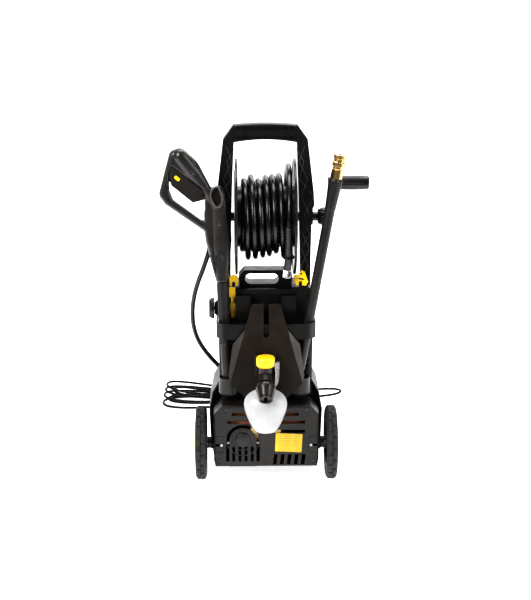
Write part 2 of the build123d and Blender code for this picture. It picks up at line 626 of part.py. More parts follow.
def reel_drum():
    """Drum with end discs and a hollow axle that runs in the posts' bushes."""
    end = FLANGE_X - 2
    drum = turned([(STUB_R - 3, -end), (DRUM_R, -end), (DRUM_R, end), (STUB_R - 3, end), (STUB_R - 3, end - 4),
                   (DRUM_R - 4, end - 4), (DRUM_R - 4, 4 - end), (STUB_R - 3, 4 - end)])
    axle = turned([(5, -136), (STUB_R, -136), (STUB_R, 133), (5, 133)])
    cut = turned([(0, -150), (5, -150), (5, 150), (0, 150)])
    return Plane(origin=(0, REEL_Y, REEL_Z), z_dir=(1, 0, 0)) * (fuse([drum, axle]) - cut)


def wound_hose():
    """Outer shape of the hose wound on the drum."""
    x0, x1 = WOUND_X
    inner, soft = DRUM_R + 0.3, 5
    return turned([(inner, x0), (WOUND_R - soft, x0), (WOUND_R, x0 + soft), (WOUND_R, x1 - soft),
                   (WOUND_R - soft, x1), (inner, x1)], (0, REEL_Y, REEL_Z), (1, 0, 0))


def crank_arm():
    """Star hub, arm and grip spindle of the winding crank."""
    hub = turned([(0, 128), (17, 128), (20, 134), (22, 139), (22, 150), (16, 154), (0, 154)])
    socket = turned([(0, 120), (STUB_R, 120), (STUB_R, 133), (0, 133)])
    notches = [Rot(0, 0, 45 * i) * (Pos(25, 0, 139) * Cylinder(5, 24)) for i in range(8)]
    hub = Plane(origin=(0, REEL_Y, REEL_Z), z_dir=(1, 0, 0)) * ((hub - notches) - socket)
    web = along_x(polygon([(REEL_Y - 14, REEL_Z), (REEL_Y + 14, REEL_Z), (REEL_Y + 12, REEL_Z + CRANK_THROW),
                           (REEL_Y - 12, REEL_Z + CRANK_THROW)]), 152, 165)
    spindle_z = REEL_Z + CRANK_THROW
    bosses = [rod((152, REEL_Y, z), (165, REEL_Y, z), 14) for z in (REEL_Z, spindle_z)]
    spindle = rod((164, REEL_Y, spindle_z), (246, REEL_Y, spindle_z), 5)
    head = rod((246, REEL_Y, spindle_z), (249, REEL_Y, spindle_z), 8)
    return fuse([hub, web] + bosses + [spindle, head])


def crank_grip():
    """Barrel-shaped grip that spins on the spindle."""
    x0, x1 = CRANK_GRIP_X
    bore = 5 + RUN
    length = x1 - x0
    body = turned([
        (bore, 0), (14.5, 0), (16.5, 3), (CRANK_GRIP_R, length * 0.35), (CRANK_GRIP_R, length * 0.6),
        (16.5, length - 3), (14.5, length), (9, length), (9, length - 6.5), (bore, length - 6.5),
    ])
    flutes = [Rot(0, 0, 45 * i) * (Pos(CRANK_GRIP_R + 1.2, 0, length / 2) * Cylinder(2.4, length * 0.7))
              for i in range(8)]
    return Plane(origin=(x0, REEL_Y, REEL_Z + CRANK_THROW), z_dir=(1, 0, 0)) * (body - flutes)


def reel_bearings():
    """Two bushes in the posts and the cover plates in front of them."""
    shapes = []
    for side in (-1, 1):
        shapes.append(turned([(STUB_R + RUN, 84), (BUSH_R, 84), (BUSH_R, 113.2), (20, 113.2), (20, 116),
                              (STUB_R + RUN, 116)], (0, REEL_Y, REEL_Z), (side, 0, 0)))
        x = sorted((side * 86, side * 110))
        shapes.append(block(x, (POST_FRONT - 2, POST_FRONT + 2), (596, 631)))
    return group(shapes)


def reel_swivel():
    """Swivel that feeds water into the hollow axle from a downturned port."""
    body = turned([(STUB_R + RUN, 119), (17, 119), (17, 146), (14, 149), (0, 149), (0, 137),
                   (STUB_R + RUN, 137)], (0, REEL_Y, REEL_Z), (-1, 0, 0))
    port = turned([(0, 0), (9, 0), (9, 20), (11, 20), (11, 28), (0, 28)], (-134, REEL_Y, REEL_Z - 14), (0, 0, -1))
    port -= rod((-100, REEL_Y, REEL_Z), (-137, REEL_Y, REEL_Z), STUB_R + RUN)
    ferrule = turned([(FEED_D / 2, 0), (9.5, 0), (9.5, 22), (8, 26), (FEED_D / 2, 26)],
                     (-134, REEL_Y, REEL_Z - 42), (0, 0, -1))
    return group([body + port, ferrule])


def tail_route():
    """Hose from the wound turns, over the reel and down its front to the hook."""
    points = []
    for angle, radius, x in TAIL_TURN:
        a = radians(angle)
        points.append((x, REEL_Y + radius * cos(a), REEL_Z + radius * sin(a)))
    return points + [BOOT_TOP]


def hose_end_sleeve():
    """Ribbed bend guard and crimped ferrule at the free end of the reel hose."""
    length = (Vector(*BOOT_FOOT) - Vector(*BOOT_TOP)).length
    ribs = []
    count = 9
    for i in range(count):
        z = length / count * i
        ribs += [(8.0, z), (9.2, z + 1.6), (9.2, z + 4.6), (8.0, z + 6.2)]
    boot = turned([(0, 0)] + ribs + [(9.6, length), (0, length)], BOOT_TOP,
                  Vector(*BOOT_FOOT) - Vector(*BOOT_TOP))
    ferrule = rod(BOOT_FOOT, FERRULE_FOOT, 9.2)
    return boot + ferrule + Pos(*BOOT_FOOT) * Sphere(9.2)


def hose_end_nut():
    """Hexagon union nut of the hose end."""
    axis = Vector(*NUT_FOOT) - Vector(*FERRULE_FOOT)
    plane = Plane(origin=FERRULE_FOOT, z_dir=axis)
    nut = extrude(RegularPolygon(11.5, 6), amount=axis.length)
    return plane * (nut - Pos(0, 0, axis.length - 7) * Cylinder(6.2, 14))


def hose_hook():
    """Ring hook on the crown that parks the hose end."""
    ring = Pos(54, -36, 551) * (Rot(13, 0, 0) * Torus(12.2, 2.3))
    arm = pipe_run([(54, -23.5, 554), (54, 8, 540), (54, 20, 500), (54, 30, 478)], 3)
    return ring + arm


# ---- trigger gun ----------------------------------------------------------------------------
def about_pivot(shape, angle):
    """Trigger shape turned about its pivot."""
    x, z = TRIGGER_PIVOT
    return Pos(x, 0, z) * (Rot(0, angle, 0) * (Pos(-x, 0, -z) * shape))


def trigger_blank(grow, half):
    """Trigger with its pivot lug, widened all round."""
    outline = soft_outline(TRIGGER_OUTLINE) + Pos(*TRIGGER_PIVOT) * Circle(9)
    if grow:
        outline = offset(outline, grow)
    return along_y(outline, GUN_Y - half, GUN_Y + half)


def gun_half(front):
    """One half of the gun's casing."""
    y0, y1 = (GUN_Y - GUN_HALF, GUN_Y) if front else (GUN_Y, GUN_Y + GUN_HALF)
    body = along_y(soft_outline(GUN_OUTLINE), y0, y1)
    rim_face = body.faces().sort_by(Axis.Y)[0 if front else -1]
    body = fillet(rim_face.edges(), 8)
    window = along_y(soft_outline(GUN_WINDOW), y0 - 1, y1 + 1)
    body -= window
    swept = [about_pivot(trigger_blank(0.7, 9.8), angle) for angle in (0, 2.5, 5, TRIGGER_TRAVEL + 0.6)]
    body -= swept
    body -= rod(GUN_NECK, tuple(2 * n - 0.72 * f - 0.28 * n for n, f in zip(GUN_NECK, GUN_FOOT)), 8)
    screws = []
    for x, z in ((-178, 756), (-114, 636), (-109, 550)):
        y = y0 - 1 if front else y1 - 2
        screws.append(rod((x, y, z), (x, y + 3, z), 4))
    body -= screws
    pin = rod((TRIGGER_PIVOT[0], GUN_Y - 12, TRIGGER_PIVOT[1]),
              (TRIGGER_PIVOT[0], GUN_Y + 12, TRIGGER_PIVOT[1]), 2.5)
    if front:
        recess = Pos(-119, 692) * (Rot(0, 0, 106) * SlotOverall(46, 15))
        return body - along_y(recess, y0 - 1, y0 + 13) - pin
    return body + pin


def gun_trigger():
    """Trigger lever inside the guard."""
    body = trigger_blank(0, 9)
    body -= rod((TRIGGER_PIVOT[0], GUN_Y - 20, TRIGGER_PIVOT[1]),
                (TRIGGER_PIVOT[0], GUN_Y + 20, TRIGGER_PIVOT[1]), 2.5 + RUN)
    return body - rod((LOCK_AT[0], GUN_Y - 12, LOCK_AT[1]), (LOCK_AT[0], GUN_Y - 4, LOCK_AT[1]), 2.5 + RUN)


def gun_lock():
    """Child lock that swings on the trigger's side."""
    tab = along_y(Pos(*LOCK_AT) * (Rot(0, 0, -40) * SlotOverall(15, 8)), GUN_Y - 13, GUN_Y - 9.4)
    pin = rod((LOCK_AT[0], GUN_Y - 10, LOCK_AT[1]), (LOCK_AT[0], GUN_Y - 4.5, LOCK_AT[1]), 2.5)
    return tab + pin


def gun_barrel():
    """Ribbed barrel from the casing down into the cup."""
    axis = Vector(*GUN_FOOT) - Vector(*GUN_NECK)
    length = axis.length
    body = turned([(0, 0), (13.5, 0), (13.5, 150), (12, 156), (11, length - 3), (9, length), (0, length)])
    ribs = [Rot(0, 0, 36 * i) * (Pos(12.4, 0, 78) * Box(4.2, 2.2, 150)) for i in range(10)]
    stem = Pos(0, 0, -35) * Cylinder(7.9, 72)
    bore = Pos(0, 0, length) * Cylinder(3.5, 40)
    return Plane(origin=GUN_NECK, z_dir=axis) * (fuse([body, stem] + ribs) - bore)


# ---- lance ----------------------------------------------------------------------------------
def on_lance(shape):
    return Plane(origin=LANCE_FOOT, z_dir=LANCE_AXIS) * shape


def lance_tube():
    """Lance with its flared grip sleeve."""
    top = LANCE_LENGTH - 58
    profile = [(0, 0), (9, 0), (11, 3), (11, 60), (12, 64), (12, top - 78), (13, top - 70), (16.6, top - 4),
               (15.5, top), (0, top)]
    flutes = [Rot(0, 0, 45 * i) * (Pos(17.6, 0, top - 34) * Cylinder(2.2, 56)) for i in range(8)]
    return on_lance(turned(profile) - flutes)


def lance_coupler():
    """Brass quick coupler on top of the lance."""
    top = LANCE_LENGTH
    hexagon = Pos(0, 0, top - 58) * extrude(RegularPolygon(13.8, 6), amount=22)
    collar = turned([(0, top - 38), (10, top - 38), (12, top - 34), (12, top - 28), (15.5, top - 27),
                     (15.5, top - 18), (13.2, top - 16), (13.2, top - 11), (15.5, top - 9), (15.5, top - 1),
                     (14.5, top), (0, top)])
    return on_lance(fuse([hexagon, collar]) - Pos(0, 0, top - COUPLER_DEPTH / 2) * Cylinder(6, COUPLER_DEPTH))


# ---- foam set -------------------------------------------------------------------------------
def bottle_form(inset, sections):
    """Oval bottle through sections (height, half width, half depth)."""
    neck_y, neck_z = BOTTLE_NECK
    ovals = []
    for z, a, b in sections:
        middle = neck_y - BOTTLE_LEAN * (neck_z - z)
        ovals.append(Plane.XY.offset(z) * (Pos(FOAM_X, middle) * Ellipse(a - inset, b - inset)))
    return loft(ovals)


def foam_bottle():
    """Translucent bottle with a round neck."""
    outer = bottle_form(0, BOTTLE)
    inner = bottle_form(1.6, [(z + (2 if i == 0 else 0), a, b) for i, (z, a, b) in enumerate(BOTTLE)])
    neck = Pos(FOAM_X, BOTTLE_NECK[0], 261) * Cylinder(11, 14)
    bore = Pos(FOAM_X, BOTTLE_NECK[0], 261) * Cylinder(9.2, 16)
    return (outer + neck) - inner - bore


def foam_head():
    """Mixing head: collar on the bottle's neck, body, back spigot and knob stem."""
    neck_y = BOTTLE_NECK[0]
    collar = turned([(11.1, 259), (14, 259), (14, 272), (0, 272), (0, 268.2), (11.1, 268.2)],
                    (FOAM_X, neck_y, 0))
    ribs = [Pos(FOAM_X, neck_y, 0) * (Rot(0, 0, 24 * i) * (Pos(14, 0, 265) * Cylinder(0.9, 12)))
            for i in range(15)]
    body = Pos(FOAM_X, FOAM_Y, 290.5) * Cylinder(17, 41)
    spigot = rod((FOAM_X, FOAM_Y, 300), (FOAM_X, -107, 300), SPIGOT_R)
    stem = rod((FOAM_X, FOAM_Y, 305), (FOAM_X, FOAM_Y, 331), 5)
    axis = Vector(*NOZZLE_TIP) - Vector(*NOZZLE_ROOT)
    boss = Plane(origin=NOZZLE_ROOT, z_dir=axis) * (Pos(0, 0, 8) * Cylinder(15.5, 26))
    tube = Plane(origin=NOZZLE_ROOT, z_dir=axis) * (Pos(0, 0, 30) * Cylinder(9, 30))
    return fuse([collar, body, spigot, stem, boss, tube] + ribs)


def foam_nozzle():
    """Turning fan nozzle with a slotted mouth."""
    axis = Vector(*NOZZLE_TIP) - Vector(*NOZZLE_ROOT)
    length = axis.length
    body = turned([(9 + RUN, 28), (20, 28), (23, 31), (23.7, 37), (22.4, 43), (17.8, length - 7),
                   (16.6, length), (12.6, length), (11.5, length - 14), (9 + RUN, length - 14)])
    grips = [Rot(0, 0, 30 * i) * (Pos(24.8, 0, 35) * Cylinder(1.9, 18)) for i in range(12)]
    tips = [Pos(0, s * 7.6, length - 9) * Box(15, 7, 12) for s in (-1, 1)]
    tips = [tip & turned([(0, 0), (12, 0), (12, length), (0, length)]) for tip in tips]
    return Plane(origin=NOZZLE_ROOT, z_dir=axis) * (fuse([body - grips] + tips) - Pos(0, 0, 30) * Cylinder(9 + RUN, 30.4))


def foam_knob():
    """Fluted dosing knob on the head's stem."""
    knob = turned([(5 + RUN, 311), (18, 311), (22, 315), (22, 331), (20, 335), (0, 337), (0, 331.5),
                   (5 + RUN, 331.5)])
    flutes = [Rot(0, 0, 20 * i) * (Pos(22.6, 0, 324) * Cylinder(1.5, 30)) for i in range(18)]
    return Pos(FOAM_X, FOAM_Y, 0) * (knob - flutes)


# ---- mains lead -----------------------------------------------------------------------------
def cable_gland():
    """Tapered strain relief in the back wall."""
    profile = [(0, 138), (8, 138), (8, 151), (11, 151), (11, 156), (8, 160), (5.5, 184), (0, 184)]
    return turned([(r, h - 138) for r, h in profile], (GLAND_X, 138, GLAND_Z), (0, 1, 0))


def mains_hank():
    """Outer shape of the mains lead folded into a long hank behind the machine."""
    edge = Spline(
        (-30, 476), (-130, 452), (-240, 446), (-294, 492), (-262, 548), (-140, 562), (-30, 528),
        (80, 548), (180, 546), (230, 514), (196, 470), (80, 462), periodic=True,
    )
    return along_z(make_face(edge), 0, HANK_TOP)


def cord_tie():
    """Twist tie round the middle of the hank."""
    outer = block((-38, -24), (471, 533), (0, HANK_TOP + 3.5))
    return outer - block((-40, -22), (474, 530), (-1, HANK_TOP + 1)) - mains_hank()


def plug():
    """Two-pin mains plug lying behind the hank."""
    body = fillet(block((-25, 25), (564, 604), (0, 27)).edges().filter_by(Axis.Z), 8)
    pins = [rod((x, 603, 14), (x, 622, 14), 2.4) for x in (-9.5, 9.5)]
    relief = block((-8, 8), (552, 565), (0.5, 13))
    return Pos(24, 0, 0) * (fuse([body, relief] + pins) - Pos(-24, 0, 0) * mains_hank())


# ---- nodes ----------------------------------------------------------------------------------
def build_nodes():
    """Every piece by its name."""
    nodes = {
        "base_rear_shell": base_rear_shell(),
        "lower_front_cover": lower_front_cover(),
        "tower_shell": tower_shell(),
        "crown_brace": crown_brace(),
        "left_post": frame_post(-1),
        "right_post": frame_post(1),
        "handle_grip": handle_grip(),
        "front_plate": front_plate(),
        "holder_band": holder_band(),
        "accessory_cups": accessory_cups(),
        "nozzle_clip": nozzle_clip(),
        "rubber_feet": rubber_feet(),
        "wheel_axle": wheel_axle(),
        "fasteners": group([fasteners()] + latch_pins()),
        "motor_frame": motor_frame(),
        "motor_windings": motor_windings(),
        "motor_rotor": motor_rotor(),
        "motor_fan": motor_fan(),
        "wobble_plate": wobble_plate(),
        "pump_body": pump_body(),
        "pump_head": pump_head(),
        "pump_pistons": pump_pistons(),
        "water_inlet": water_inlet(),
        "outlet_elbow": outlet_elbow(),
        "switch_box": switch_box(),
        "reel_bearings": reel_bearings(),
        "reel_swivel": reel_swivel(),
        "reel_drum": reel_drum(),
        "wound_hose": wound_hose(),
        "crank_arm": crank_arm(),
        "crank_grip": crank_grip(),
        "hose_tail": cord_tube("hose_tail", tail_route(), HOSE_D),
        "hose_end_sleeve": hose_end_sleeve(),
        "hose_end_nut": hose_end_nut(),
        "connection_hose": cord_tube("connection_hose", FEED_ROUTE, FEED_D),
        "gun_casing_front": gun_half(True),
        "gun_casing_rear": gun_half(False),
        "gun_trigger": gun_trigger(),
        "gun_lock": gun_lock(),
        "gun_barrel": gun_barrel(),
        "lance_tube": lance_tube(),
        "lance_coupler": lance_coupler(),
        "foam_bottle": foam_bottle(),
        "foam_head": foam_head(),
        "foam_nozzle": foam_nozzle(),
        "foam_knob": foam_knob(),
        "power_knob": power_knob(),
        "cable_gland": cable_gland(),
        "mains_lead": cord_tube("mains_lead", LEAD_ROUTE, LEAD_D) - mains_hank(),
        "mains_hank": mains_hank(),
        "cord_tie": cord_tie(),
        "plug": plug(),
    }
    for side, word in ((-1, "left"), (1, "right")):
        nodes[f"wheel_{word}_tyre"] = tyre(side)
        nodes[f"wheel_{word}_rim"] = rim(side)
        nodes[f"reel_flange_{word}"] = reel_flange(side)
        nodes[f"latch_{word}"] = latch(side)
    return nodes


def main():
    os.makedirs("parts", exist_ok=True)
    for name, shape in build_nodes().items():
        export_step(shape, f"parts/{name}.step")


main()
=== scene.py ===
"""Looks of the upright pressure washer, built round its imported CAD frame.

Metres, +Z up, -Y is the side with the label, cups and foam bottle, as in the frame.
Lengths written as plain numbers inside mm() are millimetres.
"""
from math import cos, pi, radians, sin, tau

import bmesh
import bpy
import numpy as np
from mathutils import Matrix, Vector


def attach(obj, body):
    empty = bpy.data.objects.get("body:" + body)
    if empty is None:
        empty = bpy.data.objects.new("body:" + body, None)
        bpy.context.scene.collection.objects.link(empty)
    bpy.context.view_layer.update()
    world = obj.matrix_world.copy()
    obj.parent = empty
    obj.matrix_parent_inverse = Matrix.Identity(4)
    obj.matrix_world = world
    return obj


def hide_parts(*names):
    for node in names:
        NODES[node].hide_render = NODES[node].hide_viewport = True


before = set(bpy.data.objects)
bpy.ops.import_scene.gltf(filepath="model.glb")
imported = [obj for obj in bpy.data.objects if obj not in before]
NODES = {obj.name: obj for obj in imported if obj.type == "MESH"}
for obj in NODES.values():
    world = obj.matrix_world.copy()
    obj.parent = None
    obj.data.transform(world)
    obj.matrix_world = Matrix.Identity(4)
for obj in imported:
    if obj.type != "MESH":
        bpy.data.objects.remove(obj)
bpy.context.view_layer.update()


def mm(*values):
    """Millimetres to metres, as a vector or a single number."""
    if len(values) == 1:
        return values[0] * 0.001
    return Vector(values) * 0.001


# ---- driving dimensions, as in the CAD ------------------------------------------------------
HOSE_D, FEED_D, LEAD_D = 14, 12, 7
REEL_Y, REEL_Z = 60, 632
COVER_FRONT = -88
GUN_Y = -42
BOOT_TOP = (55, -54, 626)
TAIL_TURN = [(-48, 104, 47), (-22, 118, 50), (14, 128, 53), (52, 131, 55), (90, 130, 56),
             (128, 127, 56), (164, 126, 56)]  # angle, radius and X about the reel
FEED_ROUTE = [
    (-134, 60, 588), (-134, 61, 560), (-150, 68, 508), (-176, 88, 440), (-186, 116, 366),
    (-176, 144, 300), (-146, 166, 246), (-112, 174, 208), (-100, 172, 180),
]
LEAD_ROUTE = [
    (60, 184, 75), (60, 208, 75), (62, 248, 59), (70, 292, 26), (84, 336, 5.5), (98, 384, 3.6),
    (92, 432, 4.2), (64, 468, 6.5),
]


# ---- material nodes -------------------------------------------------------------------------
class Look:
    """Small helper that lays out one procedural material."""

    def __init__(self, name):
        self.material = bpy.data.materials.new(name)
        self.material.use_nodes = True
        self.tree = self.material.node_tree
        self.shader = self.tree.nodes["Principled BSDF"]
        self.place = self.add("ShaderNodeTexCoord").outputs["Object"]

    def add(self, kind, **settings):
        node = self.tree.nodes.new(kind)
        for key, value in settings.items():
            setattr(node, key, value)
        return node

    def link(self, source, target):
        self.tree.links.new(source, target)

    def noise(self, scale, detail=4.0, stretch=None):
        """Noise pattern in the object's own space, from 0 to 1."""
        node = self.add("ShaderNodeTexNoise")
        node.inputs["Scale"].default_value = scale
        node.inputs["Detail"].default_value = detail
        self.link(self.stretched(stretch), node.inputs["Vector"])
        return node.outputs["Fac"]

    def stretched(self, stretch):
        """Place in the object's own space, scaled along its axes if asked."""
        if stretch is None:
            return self.place
        node = self.add("ShaderNodeMapping")
        node.inputs["Scale"].default_value = stretch
        self.link(self.place, node.inputs["Vector"])
        return node.outputs["Vector"]

    def spread(self, value, low, high, start=0.3, end=0.7):
        """Map a 0 to 1 pattern between two numbers."""
        node = self.add("ShaderNodeMapRange")
        for key, number in (("From Min", start), ("From Max", end), ("To Min", low), ("To Max", high)):
            node.inputs[key].default_value = number
        self.link(value, node.inputs["Value"])
        return node.outputs["Result"]

    def blend(self, factor, first, second):
        """Mix two colours by a pattern."""
        node = self.add("ShaderNodeMix", data_type="RGBA")
        self.link(factor, node.inputs["Factor"])
        for socket, colour in ((node.inputs["A"], first), (node.inputs["B"], second)):
            if hasattr(colour, "links"):
                self.link(colour, socket)
            else:
                socket.default_value = (*colour, 1)
        return node.outputs["Result"]

    def bump(self, height, strength, distance, normal=None):
        """Normal roughened by a height pattern."""
        node = self.add("ShaderNodeBump")
        node.inputs["Strength"].default_value = strength
        node.inputs["Distance"].default_value = distance
        self.link(height, node.inputs["Height"])
        if normal is not None:
            self.link(normal, node.inputs["Normal"])
        return node.outputs["Normal"]

    def along(self, axis):
        """One coordinate of the object's own space, in metres."""
        node = self.add("ShaderNodeSeparateXYZ")
        self.link(self.place, node.inputs["Vector"])
        return node.outputs[axis]

    def math(self, operation, *values):
        """Result of one arithmetic node."""
        node = self.add("ShaderNodeMath", operation=operation)
        for socket, value in zip(node.inputs, values):
            self.link(value, socket)
        return node.outputs["Value"]

    def soft_edges(self, radius):
        """Normal that makes sharp edges look rounded."""
        node = self.add("ShaderNodeBevel", samples=4)
        node.inputs["Radius"].default_value = radius
        return node.outputs["Normal"]

    def finish(self, colour=None, roughness=None, normal=None, **fixed):
        """Link the shader's main inputs, set the others and return the material."""
        for value, key in ((colour, "Base Color"), (roughness, "Roughness"), (normal, "Normal")):
            if value is not None:
                self.link(value, self.shader.inputs[key])
        for key, value in fixed.items():
            self.shader.inputs[key.replace("_", " ")].default_value = value
        return self.material


def tint(colour, factor):
    """Colour made lighter or darker, with no channel above 1."""
    return tuple(min(1.0, c * factor) for c in colour)


def moulded(name, colour, rough, grain=0.25, grain_scale=1500, edge=0.0006, mottled=0.18, **fixed):
    """Injection-moulded plastic: fine texture, slight clouding and softened edges."""
    look = Look(name)
    cloud = look.noise(14, 5)
    base = look.blend(look.spread(cloud, 0, 1), tint(colour, 1 - mottled), tint(colour, 1 + mottled))
    dust = look.spread(look.noise(260, 6), 0, 0.35, 0.58, 0.75)
    base = look.blend(dust, base, tint(colour, 1.9))
    patches = look.spread(look.noise(38, 4), rough - 0.06, rough + 0.07)
    normal = look.bump(look.noise(grain_scale, 3), grain, 0.00025, look.soft_edges(edge))
    return look.finish(base, patches, normal, **fixed)


def rubbery(name, colour, rough, **fixed):
    """Extruded or moulded rubber with a faint skin and dust."""
    look = Look(name)
    base = look.blend(look.spread(look.noise(30, 6), 0, 1), tint(colour, 0.75), tint(colour, 1.35))
    scuffs = look.spread(look.noise(180, 8), 0, 0.5, 0.6, 0.8)
    base = look.blend(scuffs, base, tint(colour, 2.6))
    normal = look.bump(look.noise(900, 4), 0.12, 0.0003, look.soft_edges(0.0004))
    return look.finish(base, look.spread(look.noise(70, 5), rough - 0.07, rough + 0.1), normal, **fixed)


def metal(name, colour, rough, lines=None, **fixed):
    """Bare metal: turned or brushed lines, stains and soft edges."""
    look = Look(name)
    stain = look.spread(look.noise(45, 6), 0, 1)
    base = look.blend(stain, tint(colour, 0.82), tint(colour, 1.1))
    height = look.noise(500, 5, lines)
    normal = look.bump(height, 0.12, 0.0002, look.soft_edges(0.0004))
    return look.finish(base, look.spread(look.noise(90, 5, lines), rough - 0.06, rough + 0.1), normal,
                       Metallic=1.0, **fixed)


def tyre_look():
    """Black rubber with dust in patches."""
    look = Look("tyre_rubber")
    dark, dusty = (0.0030, 0.0029, 0.0028), (0.010, 0.0092, 0.0085)
    dust = look.spread(look.noise(60, 8), 0, 0.6, 0.45, 0.75)
    normal = look.bump(look.noise(700, 6), 0.35, 0.0004, look.soft_edges(0.0007))
    return look.finish(look.blend(dust, dark, dusty), look.spread(look.noise(120, 5), 0.62, 0.85), normal)


def bottle_look():
    """Milky blown polyethylene."""
    look = Look("milky_bottle")
    thick = look.spread(look.noise(22, 3), 0, 1)
    base = look.blend(thick, (0.42, 0.425, 0.42), (0.52, 0.525, 0.52))
    normal = look.bump(look.noise(240, 4), 0.08, 0.0004)
    return look.finish(base, look.spread(look.noise(60, 4), 0.3, 0.42), normal, Subsurface_Weight=0.4,
                       Subsurface_Radius=(0.02, 0.02, 0.02), Subsurface_Scale=0.4, Transmission_Weight=0.1)


def hose_look(name, colour, rough, shine):
    """Glossy extruded hose with faint long ripples."""
    look = Look(name)
    base = look.blend(look.spread(look.noise(25, 4), 0, 1), tint(colour, 0.7), tint(colour, 1.5))
    ripple = look.bump(look.noise(90, 3), 0.03, 0.0002)
    return look.finish(base, look.spread(look.noise(50, 4), rough - 0.03, rough + 0.06), ripple,
                       Specular_IOR_Level=shine)


CAP_EDGE = (0.1715, 0.1720)  # distance from the middle where the wheels' yellow caps start, in metres
PINS_FROM, PINS_TO = (0.086, 0.088), (0.100, 0.102)  # heights where the bright pins start and end


def two_tone_look():
    """Wheel centre: black inside, yellow on the outward cap."""
    look = Look("wheel_centre")
    outer = look.spread(look.math("ABSOLUTE", look.along("X")), 0, 1, *CAP_EDGE)
    cloud = look.spread(look.noise(30, 5), 0, 1)
    black = look.blend(cloud, (0.004, 0.004, 0.004), (0.008, 0.0075, 0.007))
    yellow = look.blend(cloud, (0.80, 0.48, 0.003), (0.92, 0.58, 0.004))
    normal = look.bump(look.noise(1200, 3), 0.2, 0.00025, look.soft_edges(0.0006))
    return look.finish(look.blend(outer, black, yellow), look.spread(look.noise(60, 4), 0.32, 0.48), normal,
                       Specular_IOR_Level=0.35)


def fastener_look():
    """Blackened screws low and high on the cover, bright pins at the axle's height."""
    look = Look("fastener")
    height = look.along("Z")
    pins = look.math("MULTIPLY", look.spread(height, 0, 1, *PINS_FROM), look.spread(height, 1, 0, *PINS_TO))
    grain = look.spread(look.noise(300, 4), 0, 1)
    dark = look.blend(grain, (0.006, 0.006, 0.006), (0.014, 0.013, 0.012))
    bright = look.blend(grain, (0.42, 0.42, 0.42), (0.6, 0.6, 0.6))
    normal = look.bump(look.noise(800, 4), 0.2, 0.0002, look.soft_edges(0.0004))
    return look.finish(look.blend(pins, dark, bright), look.spread(look.noise(200, 4), 0.3, 0.5), normal)


def label_look():
    """Plain yellow label with faint printed rules and no writing."""
    look = Look("cover_label")
    paper = look.blend(look.spread(look.noise(60, 5), 0, 1), (0.66, 0.40, 0.002), (0.72, 0.46, 0.003))
    stripes = look.add("ShaderNodeTexWave", wave_type="BANDS", bands_direction="Z")
    stripes.inputs["Scale"].default_value = 58
    look.link(look.place, stripes.inputs["Vector"])
    rule = look.spread(stripes.outputs["Fac"], 0, 0.55, 0.80, 0.86)
    worn = look.spread(look.noise(90, 2, (1, 1, 0.2)), 0, 1, 0.40, 0.52)
    printed = look.math("MULTIPLY", rule, worn)
    normal = look.bump(look.noise(700, 3), 0.1, 0.0002)
    return look.finish(look.blend(printed, paper, (0.10, 0.055, 0.004)),
                       look.spread(look.noise(80, 4), 0.30, 0.42), normal)


def tag_look():
    """Plain paper care tag in a clear sleeve, smudged and with no writing."""
    look = Look("care_tag")
    paper = look.blend(look.spread(look.noise(40, 6), 0, 1), (0.24, 0.24, 0.23), (0.46, 0.46, 0.44))
    shade = look.spread(look.noise(130, 3, (1, 1, 2.5)), 0, 0.6, 0.5, 0.6)
    normal = look.bump(look.noise(90, 4), 0.5, 0.0008)
    return look.finish(look.blend(shade, paper, (0.16, 0.16, 0.155)),
                       look.spread(look.noise(50, 4), 0.2, 0.4), normal, Coat_Weight=0.3)


